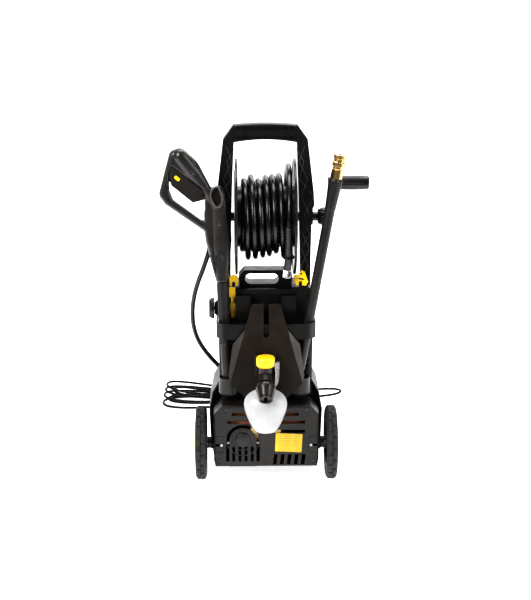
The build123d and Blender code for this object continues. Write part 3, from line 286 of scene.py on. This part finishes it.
BLACK = (0.0045, 0.0042, 0.0040)
LOW_SHINE = {"Specular_IOR_Level": 0.22}
LOOKS = {
    "frame_black": moulded("frame_black", BLACK, 0.42, grain=0.3, **LOW_SHINE),
    "housing_black": moulded("housing_black", (0.0125, 0.0108, 0.0095), 0.42, grain=0.35, grain_scale=1200,
                             Specular_IOR_Level=0.3),
    "tower_black": moulded("tower_black", (0.0045, 0.0041, 0.0037), 0.38, grain=0.2, **LOW_SHINE),
    "plate_brown": moulded("plate_brown", (0.0125, 0.0088, 0.0066), 0.34, grain=0.3, edge=0.0009,
                           Specular_IOR_Level=0.3),
    "cup_grey": moulded("cup_grey", (0.0125, 0.0120, 0.0115), 0.34, grain=0.2, Specular_IOR_Level=0.3),
    "gun_grey": moulded("gun_grey", (0.0120, 0.0104, 0.0092), 0.33, grain=0.08, grain_scale=1000, edge=0.0012,
                        Specular_IOR_Level=0.5),
    "lance_black": moulded("lance_black", (0.0110, 0.0095, 0.0085), 0.40, grain=0.3, Specular_IOR_Level=0.3),
    "rim_grey": moulded("rim_grey", (0.055, 0.053, 0.050), 0.36, grain=0.2),
    # painted glint: lighter grey that stands for the glints along the posts' thin rib edges
    "rib_glint_grey": moulded("rib_glint_grey", (0.075, 0.070, 0.065), 0.30, grain=0.1),
    "reel_black": moulded("reel_black", (0.006, 0.006, 0.006), 0.30, grain=0.12, Specular_IOR_Level=0.4),
    "crank_black": moulded("crank_black", (0.006, 0.006, 0.0055), 0.30, grain=0.15, Specular_IOR_Level=0.35),
    "head_black": moulded("head_black", (0.0085, 0.0062, 0.0052), 0.30, grain=0.15, Specular_IOR_Level=0.4),
    "yellow": moulded("yellow", (0.90, 0.56, 0.003), 0.32, grain=0.1, mottled=0.05, Coat_Weight=0.15),
    "wheel": two_tone_look(),
    "fastener": fastener_look(),
    "label": label_look(),
    "tag": tag_look(),
    # painted glint: warm copper colour of the panel behind the cover's slots, standing for the windings'
    # copper glints
    "copper_glint_paint": moulded("painted_copper_glint", (0.16, 0.045, 0.010), 0.5, grain=0.3, mottled=0.6),
    "tyre": tyre_look(),
    "foot_rubber": rubbery("foot_rubber", (0.012, 0.012, 0.012), 0.7),
    "boot_rubber": rubbery("boot_rubber", (0.010, 0.010, 0.010), 0.42),
    "hose": hose_look("hose", (0.0022, 0.0022, 0.0024), 0.25, 0.42),
    "lead": hose_look("lead", (0.0015, 0.0015, 0.0015), 0.42, 0.10),
    "steel": metal("steel", (0.62, 0.62, 0.61), 0.26, (1, 1, 9)),
    "chrome_nut": metal("chrome_nut", (0.78, 0.78, 0.78), 0.16),
    "laminations": metal("laminations", (0.30, 0.30, 0.31), 0.42, (0.4, 0.4, 14)),
    "copper": metal("copper", (0.75, 0.30, 0.11), 0.30, (1, 1, 6)),
    "cast": metal("cast", (0.55, 0.55, 0.56), 0.48),
    "brass": metal("brass", (0.86, 0.60, 0.26), 0.20, (1, 1, 5)),
    "bottle": bottle_look(),
}
FINISH_OF = {
    "frame_black": ["left_post", "right_post", "handle_grip", "reel_bearings", "reel_swivel"],
    "housing_black": ["base_rear_shell", "lower_front_cover"],
    "tower_black": ["tower_shell", "crown_brace", "holder_band", "switch_box"],
    "plate_brown": ["front_plate"],
    "cup_grey": ["accessory_cups"],
    "gun_grey": ["gun_casing_front", "gun_casing_rear", "gun_trigger"],
    "lance_black": ["gun_barrel", "lance_tube"],
    "reel_black": ["reel_drum", "reel_flange_left", "reel_flange_right"],
    "crank_black": ["crank_arm", "crank_grip", "power_knob", "motor_fan", "water_inlet"],
    "head_black": ["foam_head", "foam_nozzle", "cable_gland"],
    "yellow": ["nozzle_clip", "gun_lock", "foam_knob", "latch_left", "latch_right"],
    "wheel": ["wheel_left_rim", "wheel_right_rim"],
    "fastener": ["fasteners"],
    "tyre": ["wheel_left_tyre", "wheel_right_tyre"],
    "foot_rubber": ["rubber_feet"],
    "boot_rubber": ["hose_end_sleeve", "plug"],
    "hose": ["wound_hose", "hose_tail", "connection_hose"],
    "lead": ["mains_lead", "mains_hank", "cord_tie"],
    "steel": ["wheel_axle", "pump_pistons", "motor_rotor", "wobble_plate"],
    "chrome_nut": ["hose_end_nut"],
    "laminations": ["motor_frame"],
    "copper": ["motor_windings"],
    "cast": ["pump_body"],
    "brass": ["pump_head", "lance_coupler", "outlet_elbow"],
    "bottle": ["foam_bottle"],
}
for finish, names in FINISH_OF.items():
    for node in names:
        for material_slot in NODES[node].material_slots:
            material_slot.material = LOOKS[finish]


# ---- pieces ---------------------------------------------------------------------------------
def add_piece(name, data, finish, body):
    """Object in the scene with one finish, riding a body."""
    piece = bpy.data.objects.new(name, data)
    bpy.context.scene.collection.objects.link(piece)
    data.materials.append(LOOKS[finish])
    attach(piece, body)
    return piece


def round_lines(name, lines, diameter, roundness, resolution, closed=False):
    """Curve data of smooth round lines, each through the neighbourhood of points in millimetres."""
    data = bpy.data.curves.new(name, "CURVE")
    data.dimensions = "3D"
    data.bevel_depth = mm(diameter / 2)
    data.bevel_resolution, data.resolution_u = roundness, resolution
    for points in lines:
        spline = data.splines.new("NURBS")
        spline.points.add(len(points) - 1)
        for point, place in zip(spline.points, points):
            point.co = (*mm(*place), 1)
        spline.use_cyclic_u = closed
        spline.use_endpoint_u = not closed
        spline.order_u = 3
    return data


def cord_curve(name, points, diameter, finish, body, resolution):
    """Round cord on one smooth line, with capped ends."""
    data = round_lines(name, [points], diameter, 5, resolution)
    data.use_fill_caps = True
    return add_piece(name, data, finish, body)


def wire(name, lines, diameter, finish, body, closed=False):
    """Thin round lines in one curve object."""
    return add_piece(name, round_lines(name, lines, diameter, 2, 4, closed), finish, body)


def mesh_piece(name, build, finish, body, smooth=True):
    """Mesh object whose bmesh, in metres, is filled by build(bm)."""
    data = bpy.data.meshes.new(name)
    bm = bmesh.new()
    build(bm)
    bmesh.ops.recalc_face_normals(bm, faces=bm.faces)
    for face in bm.faces:
        face.smooth = smooth
    bm.to_mesh(data)
    bm.free()
    return add_piece(name, data, finish, body)


def lathe(bm, profile, origin, axis, steps=48):
    """Turned form in millimetres: (radius, height) points about the axis through origin."""
    turn = Vector(axis).to_track_quat("Z", "Y").to_matrix()
    rings = []
    for i in range(steps):
        a = tau * i / steps
        ring = []
        for radius, height in profile:
            local = Vector((radius * cos(a), radius * sin(a), height))
            ring.append(bm.verts.new(mm(*(Vector(origin) + turn @ local))))
        rings.append(ring)
    for ring, following in zip(rings, rings[1:] + rings[:1]):
        for k in range(len(profile) - 1):
            bm.faces.new((ring[k], following[k], following[k + 1], ring[k + 1]))
    bmesh.ops.remove_doubles(bm, verts=bm.verts, dist=1e-6)


def slab(bm, corners, thickness, normal):
    """Thin plate over flat corners in millimetres, thickened along the normal."""
    lift = Vector(normal) * thickness
    low = [bm.verts.new(mm(*c)) for c in corners]
    high = [bm.verts.new(mm(*(Vector(c) + lift))) for c in corners]
    bm.faces.new(low)
    bm.faces.new(reversed(high))
    for k in range(len(corners)):
        n = (k + 1) % len(corners)
        bm.faces.new((low[k], low[n], high[n], high[k]))


# ---- gun casing -----------------------------------------------------------------------------
GUN_OUTLINE = [
    (-253, 702, 20), (-225, 806, 18), (-198, 816, 14), (-161, 782, 60), (-129, 720, 5), (-108, 728, 10),
    (-97, 712, 16), (-81, 600, 90), (-90, 493, 2), (-119, 493, 2), (-143, 590, 60), (-146, 616, 12),
    (-238, 681, 16),
]
GUN_WINDOW = [
    (-229.6, 755, 6), (-221.6, 774.6, 3), (-149, 718, 3), (-144, 700, 3), (-144, 641, 5), (-155, 643, 4),
    (-219, 691, 10), (-227, 712, 10),
]
GUN_HALF, GUN_STEP = 20.0, 1.6  # half thickness and spacing of the casing's mesh
EDGE_ROUND = 9
WEB_HALF, WEB_DROP = 12.5, 1.3  # guard's half thickness, and how much less it is at the window
WINDOW_WALL = 11.2  # half gap between the casing halves where the trigger moves
SCREW_R, SCREW_DEPTH = 4.0, 2.5
EYE_DEPTH, EYE_COLLAR = 13, 7
EYE_RIM_SCALE, EYE_RIM_D = 1.2, 4.2
GUN_SCREWS = [(-173, 758), (-112, 639), (-106, 555)]
GUN_EYE = [
    (-129.5, 705, 4), (-122, 720, 5), (-112, 721, 6), (-106, 703, 10), (-105, 688, 5), (-111, 679, 5),
    (-119, 681, 5), (-125.5, 692, 8),
]
HANDLE_LINE, HANDLE_R = [(-200, 795), (-163, 748), (-127, 702)], 19.5
BARREL_LINE = [(-107, 700), (-103, 600), (-104, 493)]
GUN_SEAMS = [  # X, depth in front of the casing's middle, Z
    [(-143, 12.6, 612), (-134, 15.5, 619), (-125, 18.2, 614), (-121, 19.2, 596), (-118, 19.6, 570),
     (-113, 19.9, 562), (-88, 18.6, 562)],
    [(-209, 13.0, 757), (-216, 12.6, 764), (-219, 12.2, 778), (-212, 15.0, 790)],
]
GUN_RIBS = [(-134, 9.5, 17, 10), (-129, 13, 15, 14), (-124, 15.5, 13, 17), (-119, 17.5, 11, 18.4)]
TRIGGER_CHANNEL = [
    (-236, 738), (-222, 729), (-172, 688), (-150, 692), (-141, 692), (-141, 722), (-152, 726),
    (-222, 781), (-236, 764),
]


def rounded(corners, step=2.0):
    """Closed line through corners (x, z, radius), with arcs at the corners."""
    line = []
    count = len(corners)
    for k in range(count):
        before, here, after = (Vector(corners[(k + d) % count][:2]) for d in (-1, 0, 1))
        u, v = (before - here).normalized(), (after - here).normalized()
        half = u.angle(v) / 2
        reach = min(corners[k][2] / max(0.05, abs(sin(half) / cos(half))),
                    0.48 * (before - here).length, 0.48 * (after - here).length)
        start, end = here + u * reach, here + v * reach
        parts = max(2, int((end - start).length / step))
        for i in range(parts + 1):
            t = i / parts
            line.append((1 - t) ** 2 * start + 2 * t * (1 - t) * here + t * t * end)
    return line


def outside(points, loop):
    """Distance of each point outside a closed loop, negative inside, and the nearest loop point."""
    inside = np.zeros(len(points), bool)
    best = np.full(len(points), 1e9)
    nearest = points.copy()
    for a, b in zip(loop, loop[1:] + loop[:1]):
        a, b = np.array(a), np.array(b)
        edge = b - a
        crosses = (a[1] > points[:, 1]) != (b[1] > points[:, 1])
        at = a[0] + (points[:, 1] - a[1]) * edge[0] / (edge[1] if edge[1] else 1e-9)
        inside ^= crosses & (points[:, 0] < at)
        t = np.clip(((points - a) @ edge) / max(1e-9, float(edge @ edge)), 0, 1)
        foot = a + t[:, None] * edge
        gap = np.hypot(*(points - foot).T)
        closer = gap < best
        best[closer] = gap[closer]
        nearest[closer] = foot[closer]
    return np.where(inside, -best, best), nearest


def line_gap(points, line):
    """Distance of each point from an open line."""
    best = np.full(len(points), 1e9)
    for a, b in zip(line, line[1:]):
        a, b = np.array(a, float), np.array(b, float)
        edge = b - a
        t = np.clip(((points - a) @ edge) / float(edge @ edge), 0, 1)
        best = np.minimum(best, np.hypot(*(points - a - t[:, None] * edge).T))
    return best


def casing_grid():
    """Grid over the outline: which points lie in the casing, their edge points and heights."""
    xs = np.arange(-256, -76, GUN_STEP)
    zs = np.arange(490, 820, GUN_STEP)
    gx, gz = np.meshgrid(xs, zs, indexing="ij")
    points = np.stack([gx.ravel(), gz.ravel()], 1)
    rim, rim_foot = outside(points, rounded(GUN_OUTLINE))
    window, window_foot = outside(points, rounded(GUN_WINDOW))
    inside = (rim < 0) & (window > 0)
    on_window = window < -rim
    nearest = np.where((-rim < window)[:, None], rim_foot, window_foot)
    dome = np.sqrt(np.clip(1 - (1 - np.clip(-rim / EDGE_ROUND, 0, 1)) ** 2, 0, 1))
    low = WEB_HALF * dome - WEB_DROP * (1 - np.clip(window / 4, 0, 1))
    handle = GUN_HALF * np.sqrt(np.clip(1 - (line_gap(points, HANDLE_LINE) / HANDLE_R) ** 2, 0, 1))
    wide = 19 + 6 * np.clip((points[:, 1] - 493) / 100, 0, 1)
    barrel = GUN_HALF * np.sqrt(np.clip(1 - (line_gap(points, BARREL_LINE) / wide) ** 2.6, 0, 1))
    raised = np.maximum(handle, barrel) * np.clip(dome * 1.25, 0, 1)
    plain = np.maximum(low, raised)
    for sx, sz in GUN_SCREWS:
        near = np.hypot(points[:, 0] - sx, points[:, 1] - sz) < SCREW_R
        plain = np.where(near, plain - SCREW_DEPTH, plain)
    eye, _ = outside(points, rounded(GUN_EYE, 1.0))
    collar = np.clip(1 - (eye - 1.0) / EYE_COLLAR, 0, 1)
    sunk = np.maximum(4, plain - np.minimum(EYE_DEPTH, -eye * 9))
    raised = np.maximum(plain, (GUN_HALF - 0.6) * (eye < EYE_COLLAR) * dome) + 0.6 * collar
    marked = np.where(eye < 0, sunk, raised)
    heights = [np.clip(height, 0.4, GUN_HALF) for height in (plain, marked)]
    return len(xs), len(zs), points, inside, on_window, nearest, heights


def over_trigger(x, z):
    """Whether a point of the window's edge lies above the trigger's lower side, where the wall is open."""
    return z >= 688 + 0.35 * (-141 - x)


def casing_half(grid, front):
    """Builder of one casing half: a domed skin with walls inside the guard."""
    columns, rows, flat, inside, on_window, nearest, (plain, marked) = grid
    sign, heights = (-1, marked) if front else (1, plain)

    def build(bm):
        cells = []
        for i in range(columns - 1):
            for j in range(rows - 1):
                here, beside = i * rows + j, (i + 1) * rows + j
                corners = [here, beside, beside + 1, here + 1]
                if all(inside[k] for k in corners):
                    cells.append(corners)
        used = {}
        for corners in cells:
            for k in corners:
                used[k] = used.get(k, 0) + 1
        made = {}
        for k, count in used.items():
            on_edge = count < 4
            x, z = nearest[k] if on_edge else flat[k]
            edge_height = WINDOW_WALL if on_window[k] else 0.0
            y = GUN_Y + sign * (edge_height if on_edge else heights[k])
            made[k] = bm.verts.new(mm(float(x), float(y), float(z)))
        for corners in cells:
            bm.faces.new([made[k] for k in corners])
        rim = [e for e in bm.edges if e.is_boundary]
        fresh = bmesh.ops.extrude_edge_only(bm, edges=rim)["geom"]
        for v in (g for g in fresh if isinstance(g, bmesh.types.BMVert)):
            x, y, z = (value * 1000 for value in v.co)
            if abs(y - GUN_Y) < 1:
                v.co.y = mm(GUN_Y - 0.5 * sign)
            elif over_trigger(x, z):
                v.co.y -= sign * mm(0.3)
            else:
                v.co.y = mm(GUN_Y)
    return build


def make_gun_casing():
    """Both casing halves with the grip's eye, seams, ribs, screws and the trigger's channel. The eye's black
    floor and the ribs' dark colour are painted shade.
    """
    grid = casing_grid()
    for front, word in ((True, "front"), (False, "rear")):
        shell = mesh_piece(f"gun_shell_{word}", casing_half(grid, front), "gun_grey", "gun")
        smooth = shell.modifiers.new("smooth", "SMOOTH")
        smooth.factor, smooth.iterations = 0.4, 1
        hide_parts(f"gun_casing_{word}")
    ring = [(x, GUN_Y - GUN_HALF + 0.6, z) for x, z, _ in GUN_EYE]
    middle = sum((Vector(p) for p in ring), Vector()) / len(ring)
    ring = [tuple(middle + EYE_RIM_SCALE * (Vector(p) - middle)) for p in ring]
    wire("gun_eye_rim", [ring], EYE_RIM_D, "rim_grey", "gun", closed=True)
    seams = [[(x, GUN_Y - depth, z) for x, depth, z in seam] for seam in GUN_SEAMS]
    ribs = [[(x, GUN_Y - top, 560), (x + 0.5 * across, GUN_Y - top - 1, 528), (x + across, GUN_Y - foot, 496)]
            for x, top, across, foot in GUN_RIBS]
    wire("gun_seams", seams, 1.0, "head_black", "gun")
    # painted shade: the ribs are drawn dark to stand for the shade in the grooves between them
    wire("gun_groove_shade_ribs", ribs, 2.0, "head_black", "gun")

    # painted shade: black plate at the bottom of the eye's pit, standing for the shade inside it
    def eye_shade_floor(bm):
        slab(bm, [(x, GUN_Y - 11, z) for x, z, _ in GUN_EYE], 2, (0, 1, 0))
    mesh_piece("gun_eye_shade_floor", eye_shade_floor, "head_black", "gun", smooth=False)

    def channel(bm):
        slab(bm, [(x, GUN_Y + 10.6, z) for x, z in TRIGGER_CHANNEL], 1.4, (0, 1, 0))
    mesh_piece("gun_trigger_channel", channel, "head_black", "gun", smooth=False)

    def wells(bm):
        profile = [(3.9, 3.0), (3.7, -0.2), (2.9, -0.3), (2.7, 0.6), (0, 0.6)]
        for x, z in GUN_SCREWS:
            lathe(bm, profile, (x, GUN_Y - GUN_HALF, z), (0, 1, 0), 24)
    mesh_piece("gun_screw_wells", wells, "head_black", "gun")


# ---- small fittings -------------------------------------------------------------------------
LABEL_MIDDLE, LABEL_SIZE, LABEL_TURN, LABEL_ROUND = (54.5, 100), (65, 47), -2.5, 2
TAG_ROWS, TAG_COLUMNS = 14, 8
PANEL_X, PANEL_Y, PANEL_Z = (-104, 104), -78, (143, 181)
BUTTON_AT, BUTTON_RINGS = (-57, COVER_FRONT, 108), (26.5, 40.5)


def make_label():
    """Plain striped label on the lower front cover."""
    def build(bm):
        a = radians(LABEL_TURN)
        w, h = (size / 2 - LABEL_ROUND for size in LABEL_SIZE)
        corners = []
        for cx, cz, start in ((w, h, 0), (-w, h, 90), (-w, -h, 180), (w, -h, 270)):
            for k in range(4):
                t = radians(start + 30 * k)
                u, v = cx + LABEL_ROUND * cos(t), cz + LABEL_ROUND * sin(t)
                corners.append((LABEL_MIDDLE[0] + u * cos(a) - v * sin(a), COVER_FRONT - 0.1,
                                LABEL_MIDDLE[1] + u * sin(a) + v * cos(a)))
        slab(bm, corners, 0.6, (0, -1, 0))
    mesh_piece("cover_label", build, "label", "chassis", smooth=False)


def make_tag():
    """Curled plain tag hanging at the right of the foam head."""
    def build(bm):
        grid = []
        for i in range(TAG_ROWS + 1):
            t = i / TAG_ROWS
            for j in range(TAG_COLUMNS + 1):
                u = j / TAG_COLUMNS
                x = 18 + 9 * u + 3 * (1 - t) * u + 2.5 * sin(3.1 * t)
                y = -152 + 26 * u + 5 * sin(pi * t) * (0.4 + u)
                z = 323 - 64 * t - 8 * u * (1 - t) + 3 * u
                grid.append(bm.verts.new(mm(x, y, z)))
        for i in range(TAG_ROWS):
            for j in range(TAG_COLUMNS):
                k = i * (TAG_COLUMNS + 1) + j
                below = k + TAG_COLUMNS + 1
                bm.faces.new((grid[k], grid[k + 1], grid[below + 1], grid[below]))
    tag = mesh_piece("care_tag", build, "tag", "foam_set")
    thick = tag.modifiers.new("thick", "SOLIDIFY")
    thick.thickness = mm(0.5)


def make_copper_glint_panel():
    """Warm inner panel seen through the cover's long air slots, painted copper to stand for the glints of the
    copper windings behind them.
    """
    def build(bm):
        (x0, x1), (z0, z1) = PANEL_X, PANEL_Z
        slab(bm, [(x, PANEL_Y, z) for x, z in ((x0, z0), (x1, z0), (x1, z1), (x0, z1))], 1.5, (0, 1, 0))
    mesh_piece("copper_glint_panel", build, "copper_glint_paint", "chassis", smooth=False)


def make_grille_button():
    """Boss and two raised rings on the cover's round grille."""
    def build(bm):
        boss = [(0, -5.6), (15.5, -5.6), (17.6, -4.6), (18.4, -2.6), (18.4, 0.5), (0, 0.5)]
        lathe(bm, boss, BUTTON_AT, (0, 1, 0), 64)
        for radius in BUTTON_RINGS:
            ring = [(radius - 1.1, 0.4), (radius - 1.0, -0.9), (radius + 1.0, -0.9), (radius + 1.1, 0.4)]
            lathe(bm, ring, BUTTON_AT, (0, 1, 0), 64)
    mesh_piece("grille_button", build, "cup_grey", "chassis")


POST_ZIGZAG = [  # height and X of the ribs' turns, before the post's own bend is added
    (430, 99), (470, 88), (512, 107), (556, 88), (596, 108), (640, 92), (684, 114), (726, 88), (770, 104),
    (806, 86),
]
RIB_MIDDLE, RIB_SPREAD, RIB_Y = 98, 0.95, 39.9


def post_middle(z):
    """X of a post's middle at a height."""
    middle = RIB_MIDDLE + (z - 560) * (0.035 if z < 690 else -0.02)
    return middle - max(0, z - 700) * 0.10


def make_post_lines():
    """Thin raised diamond ribs on the front of both posts, coloured lighter grey as painted glints along
    their edges.
    """
    for side, word in ((-1, "left"), (1, "right")):
        lines = []
        for mirrored in (1, -1):
            points = [(side * (post_middle(z) + mirrored * (x - RIB_MIDDLE) * RIB_SPREAD), RIB_Y, z)
                      for z, x in POST_ZIGZAG]
            lines += [[a, tuple((Vector(a) + Vector(b)) / 2), b] for a, b in zip(points, points[1:])]
        wire(f"{word}_post_ribs", lines, 0.9, "rib_glint_grey", "chassis")


# ---- reel hose ------------------------------------------------------------------------------
INNER_R, INNER_X, INNER_TURNS = 82.3, (31, -58), 6.5
OUTER_TURNS = [
    (-57, 94.5, -6), (-41, 103, 1), (-23, 93, -7), (-5, 97, 0), (11, 96, 2), (27, 95, 8), (45, 99, 0),
]  # X, centreline radius and lift of each turn, from the left
TURN_POINTS = 16


def about_reel(angle, radius, x, lift=0.0):
    """Point at an angle and radius about the reel's axis."""
    a = radians(angle)
    return (x, REEL_Y + radius * cos(a), REEL_Z + lift + radius * sin(a))


def eased(table, place):
    """Value between the rows of a table, eased so that most of the change is at the back."""
    row = min(int(place), len(table) - 2)
    t = place - row
    t = t * t * (3 - 2 * t)
    return [a + (b - a) * t for a, b in zip(table[row], table[row + 1])]


def wound_points():
    """Two layers on the drum; the last point is where the tail leaves."""
    points = []
    outer = len(OUTER_TURNS) - 1
    start = TAIL_TURN[0][0] - 360 * (outer + INNER_TURNS)
    steps = int(INNER_TURNS * TURN_POINTS)
    for i in range(steps):
        t = i / steps
        x = INNER_X[0] + (INNER_X[1] - INNER_X[0]) * t
        points.append(about_reel(start + 360 * INNER_TURNS * t, INNER_R, x))
    start += 360 * INNER_TURNS
    steps = outer * TURN_POINTS
    for i in range(steps):
        t = i / TURN_POINTS
        x, radius, lift = eased(OUTER_TURNS, t)
        climb = min(1.0, t * 2)
        radius = INNER_R + (radius - INNER_R) * climb
        points.append(about_reel(start + 360 * t, radius, x, lift))
    return points + [about_reel(TAIL_TURN[0][0], *TAIL_TURN[0][1:])]


def make_reel_hose():
    """Hose wound on the drum, and its free tail."""
    coil = cord_curve("reel_hose_coil", wound_points(), HOSE_D, "hose", "reel", 3)
    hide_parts("wound_hose")
    route = [about_reel(*row) for row in TAIL_TURN] + [BOOT_TOP]
    tail = cord_curve("reel_hose_tail", route, HOSE_D, "hose", "chassis", 10)
    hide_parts("hose_tail")


def make_connection_hose():
    """Hose between the reel's swivel and the pump."""
    hose = cord_curve("pump_hose", FEED_ROUTE, FEED_D, "hose", "chassis", 10)
    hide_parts("connection_hose")


# ---- mains lead -----------------------------------------------------------------------------
PINCH_X, LEAD_REST, TIE_SQUEEZE = -31, 3.7, 0.74  # tie's X, lowest strand, how far the tie flattens the pile
LEAD_LOOPS = [
    # left end X, half width, right end X, half width, height of the turn, rise of the left tip
    (-288, 52, 48, 30, 3.7, 0),
    (-272, 40, 60, 32, 10.6, 4),
    (-284, 50, 40, 26, 17.4, 10),
    (-258, 38, 226, 34, 22.0, 22),
    (-280, 46, 52, 28, 27.0, 16),
    (-276, 48, 0, 0, 34.0, 24),
]
LOW_SLOTS = [482.0, 486.0, 490.0, 496.0, 485.0, 492.0]
HIGH_SLOTS = [524.0, 520.0, 516.0, 509.0, 520.0, 513.0]
LOBE = [(0.22, 0.55), (0.48, 0.88), (0.72, 1.0), (0.92, 0.8), (1.0, 0.32)]  # along and across a lobe


def lobe_points(end, half, middle, height, tip_lift, upwards):
    """Loop end of one turn of the lead, from one side of the tie to the other."""
    out = [(PINCH_X + (end - PINCH_X) * f, middle - half * w * upwards, height + tip_lift * f * f)
           for f, w in LOBE]
    back = [(x, 2 * middle - y, z) for x, y, z in reversed(out)]
    return out + back


def hank_points():
    """Figure-of-eight turns through the tie, then the run to the plug."""
    points = []
    for i, (left, wide, right, slim, height, rise) in enumerate(LEAD_LOOPS):
        wander = 3.0 * sin(1.7 * i)
        tied = LEAD_REST + TIE_SQUEEZE * (height - LEAD_REST)
        points.append((PINCH_X, LOW_SLOTS[i], tied))
        points += lobe_points(left, wide, 503 + wander, height, rise, 1)
        points.append((PINCH_X, HIGH_SLOTS[i], tied))
        if right:
            tip_lift = 12 if right > 200 else -0.3 * height
            points += lobe_points(right, slim, 504 - wander, height, tip_lift, -1)
    return points + [(-6, 521, 27), (12, 531, 18), (23, 546, 9), (24, 560, 6.8)]


def make_mains_lead():
    """Mains lead from the machine to the tied hank and the plug."""
    lead = cord_curve("mains_cord", LEAD_ROUTE + [(18, 477, 4.6)] + hank_points(), LEAD_D, "lead",
                      "chassis", 5)
    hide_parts("mains_lead", "mains_hank")


# ---- stage, light and camera ----------------------------------------------------------------
def plain_look(name, colour, rough):
    """Nearly even finish for the stage."""
    look = Look(name)
    base = look.blend(look.spread(look.noise(3, 2), 0, 1), tint(colour, 0.99), colour)
    return look.finish(base, look.spread(look.noise(5, 2), rough, rough + 0.05))


FLOOR_DROP = 0.0002  # keeps the floor clear of the feet
SWEEP_WALL, SWEEP_R = 3, 1.5  # where the floor starts to rise, and the radius of the rise


def make_stage():
    """White sweep: floor from just before the object, rising into a wall far behind it."""
    profile = [(-1.05, 0), (-0.6, 0), (0, 0), (1, 0), (SWEEP_WALL, 0)]
    turns = [radians(15 * k) for k in range(1, 7)]
    profile += [(SWEEP_WALL + SWEEP_R * sin(a), SWEEP_R - SWEEP_R * cos(a)) for a in turns]
    profile.append((SWEEP_WALL + SWEEP_R, 6))
    data = bpy.data.meshes.new("sweep")
    bm = bmesh.new()
    sides = [[bm.verts.new((x, y, z - FLOOR_DROP)) for y, z in profile] for x in (-5, 5)]
    for k in range(len(profile) - 1):
        bm.faces.new((sides[0][k], sides[1][k], sides[1][k + 1], sides[0][k + 1]))
    bm.to_mesh(data)
    bm.free()
    sweep = bpy.data.objects.new("sweep", data)
    bpy.context.scene.collection.objects.link(sweep)
    white = plain_look("pale_sweep", (0.95, 0.95, 0.95), 0.9)
    shader = white.node_tree.nodes["Principled BSDF"]
    shader.inputs["Emission Color"].default_value = (1, 1, 1, 1)
    shader.inputs["Emission Strength"].default_value = 0.7
    data.materials.append(white)


def add_light(name, place, target, size, power):
    """Rectangular area light that faces a target."""
    data = bpy.data.lights.new(name, "AREA")
    data.shape = "RECTANGLE"
    data.size, data.size_y = size
    data.energy = power
    light = bpy.data.objects.new(name, data)
    light.location = place
    light.rotation_euler = (Vector(target) - Vector(place)).to_track_quat("-Z", "Y").to_euler()
    bpy.context.scene.collection.objects.link(light)


def make_studio():
    """Dim world light, the view's contrast and four area lights."""
    world = bpy.data.worlds.new("studio")
    world.use_nodes = True
    sky = world.node_tree.nodes["Background"].inputs
    sky["Color"].default_value = (1, 1, 1, 1)
    sky["Strength"].default_value = 0.16
    bpy.context.scene.world = world
    view = bpy.context.scene.view_settings
    view.view_transform, view.look = "Standard", "Medium High Contrast"
    middle = (0, 0, 0.45)
    add_light("key", (-1.9, -2.3, 2.2), middle, (0.9, 1.6), 120)
    add_light("fill", (2.4, -1.6, 1.4), middle, (0.5, 1.8), 55)
    add_light("top", (0.0, 0.4, 3.0), middle, (2.4, 1.4), 85)
    add_light("rear", (0.6, 2.4, 2.6), middle, (2.0, 1.0), 22)


def make_camera():
    """Camera of the main view."""
    data = bpy.data.cameras.new("camera")
    data.lens, data.sensor_width = 76.17, 36
    data.shift_x, data.shift_y = -0.0003, -0.0104
    camera = bpy.data.objects.new("camera", data)
    camera.location = (-0.0524, -2.9995, 1.2)
    camera.rotation_euler = (radians(76), 0, radians(-1))
    bpy.context.scene.collection.objects.link(camera)
    bpy.context.scene.camera = camera


make_camera()
make_studio()
make_stage()
make_reel_hose()
make_connection_hose()
make_mains_lead()
make_gun_casing()
make_label()
make_tag()
make_copper_glint_panel()
make_grille_button()
make_post_lines()
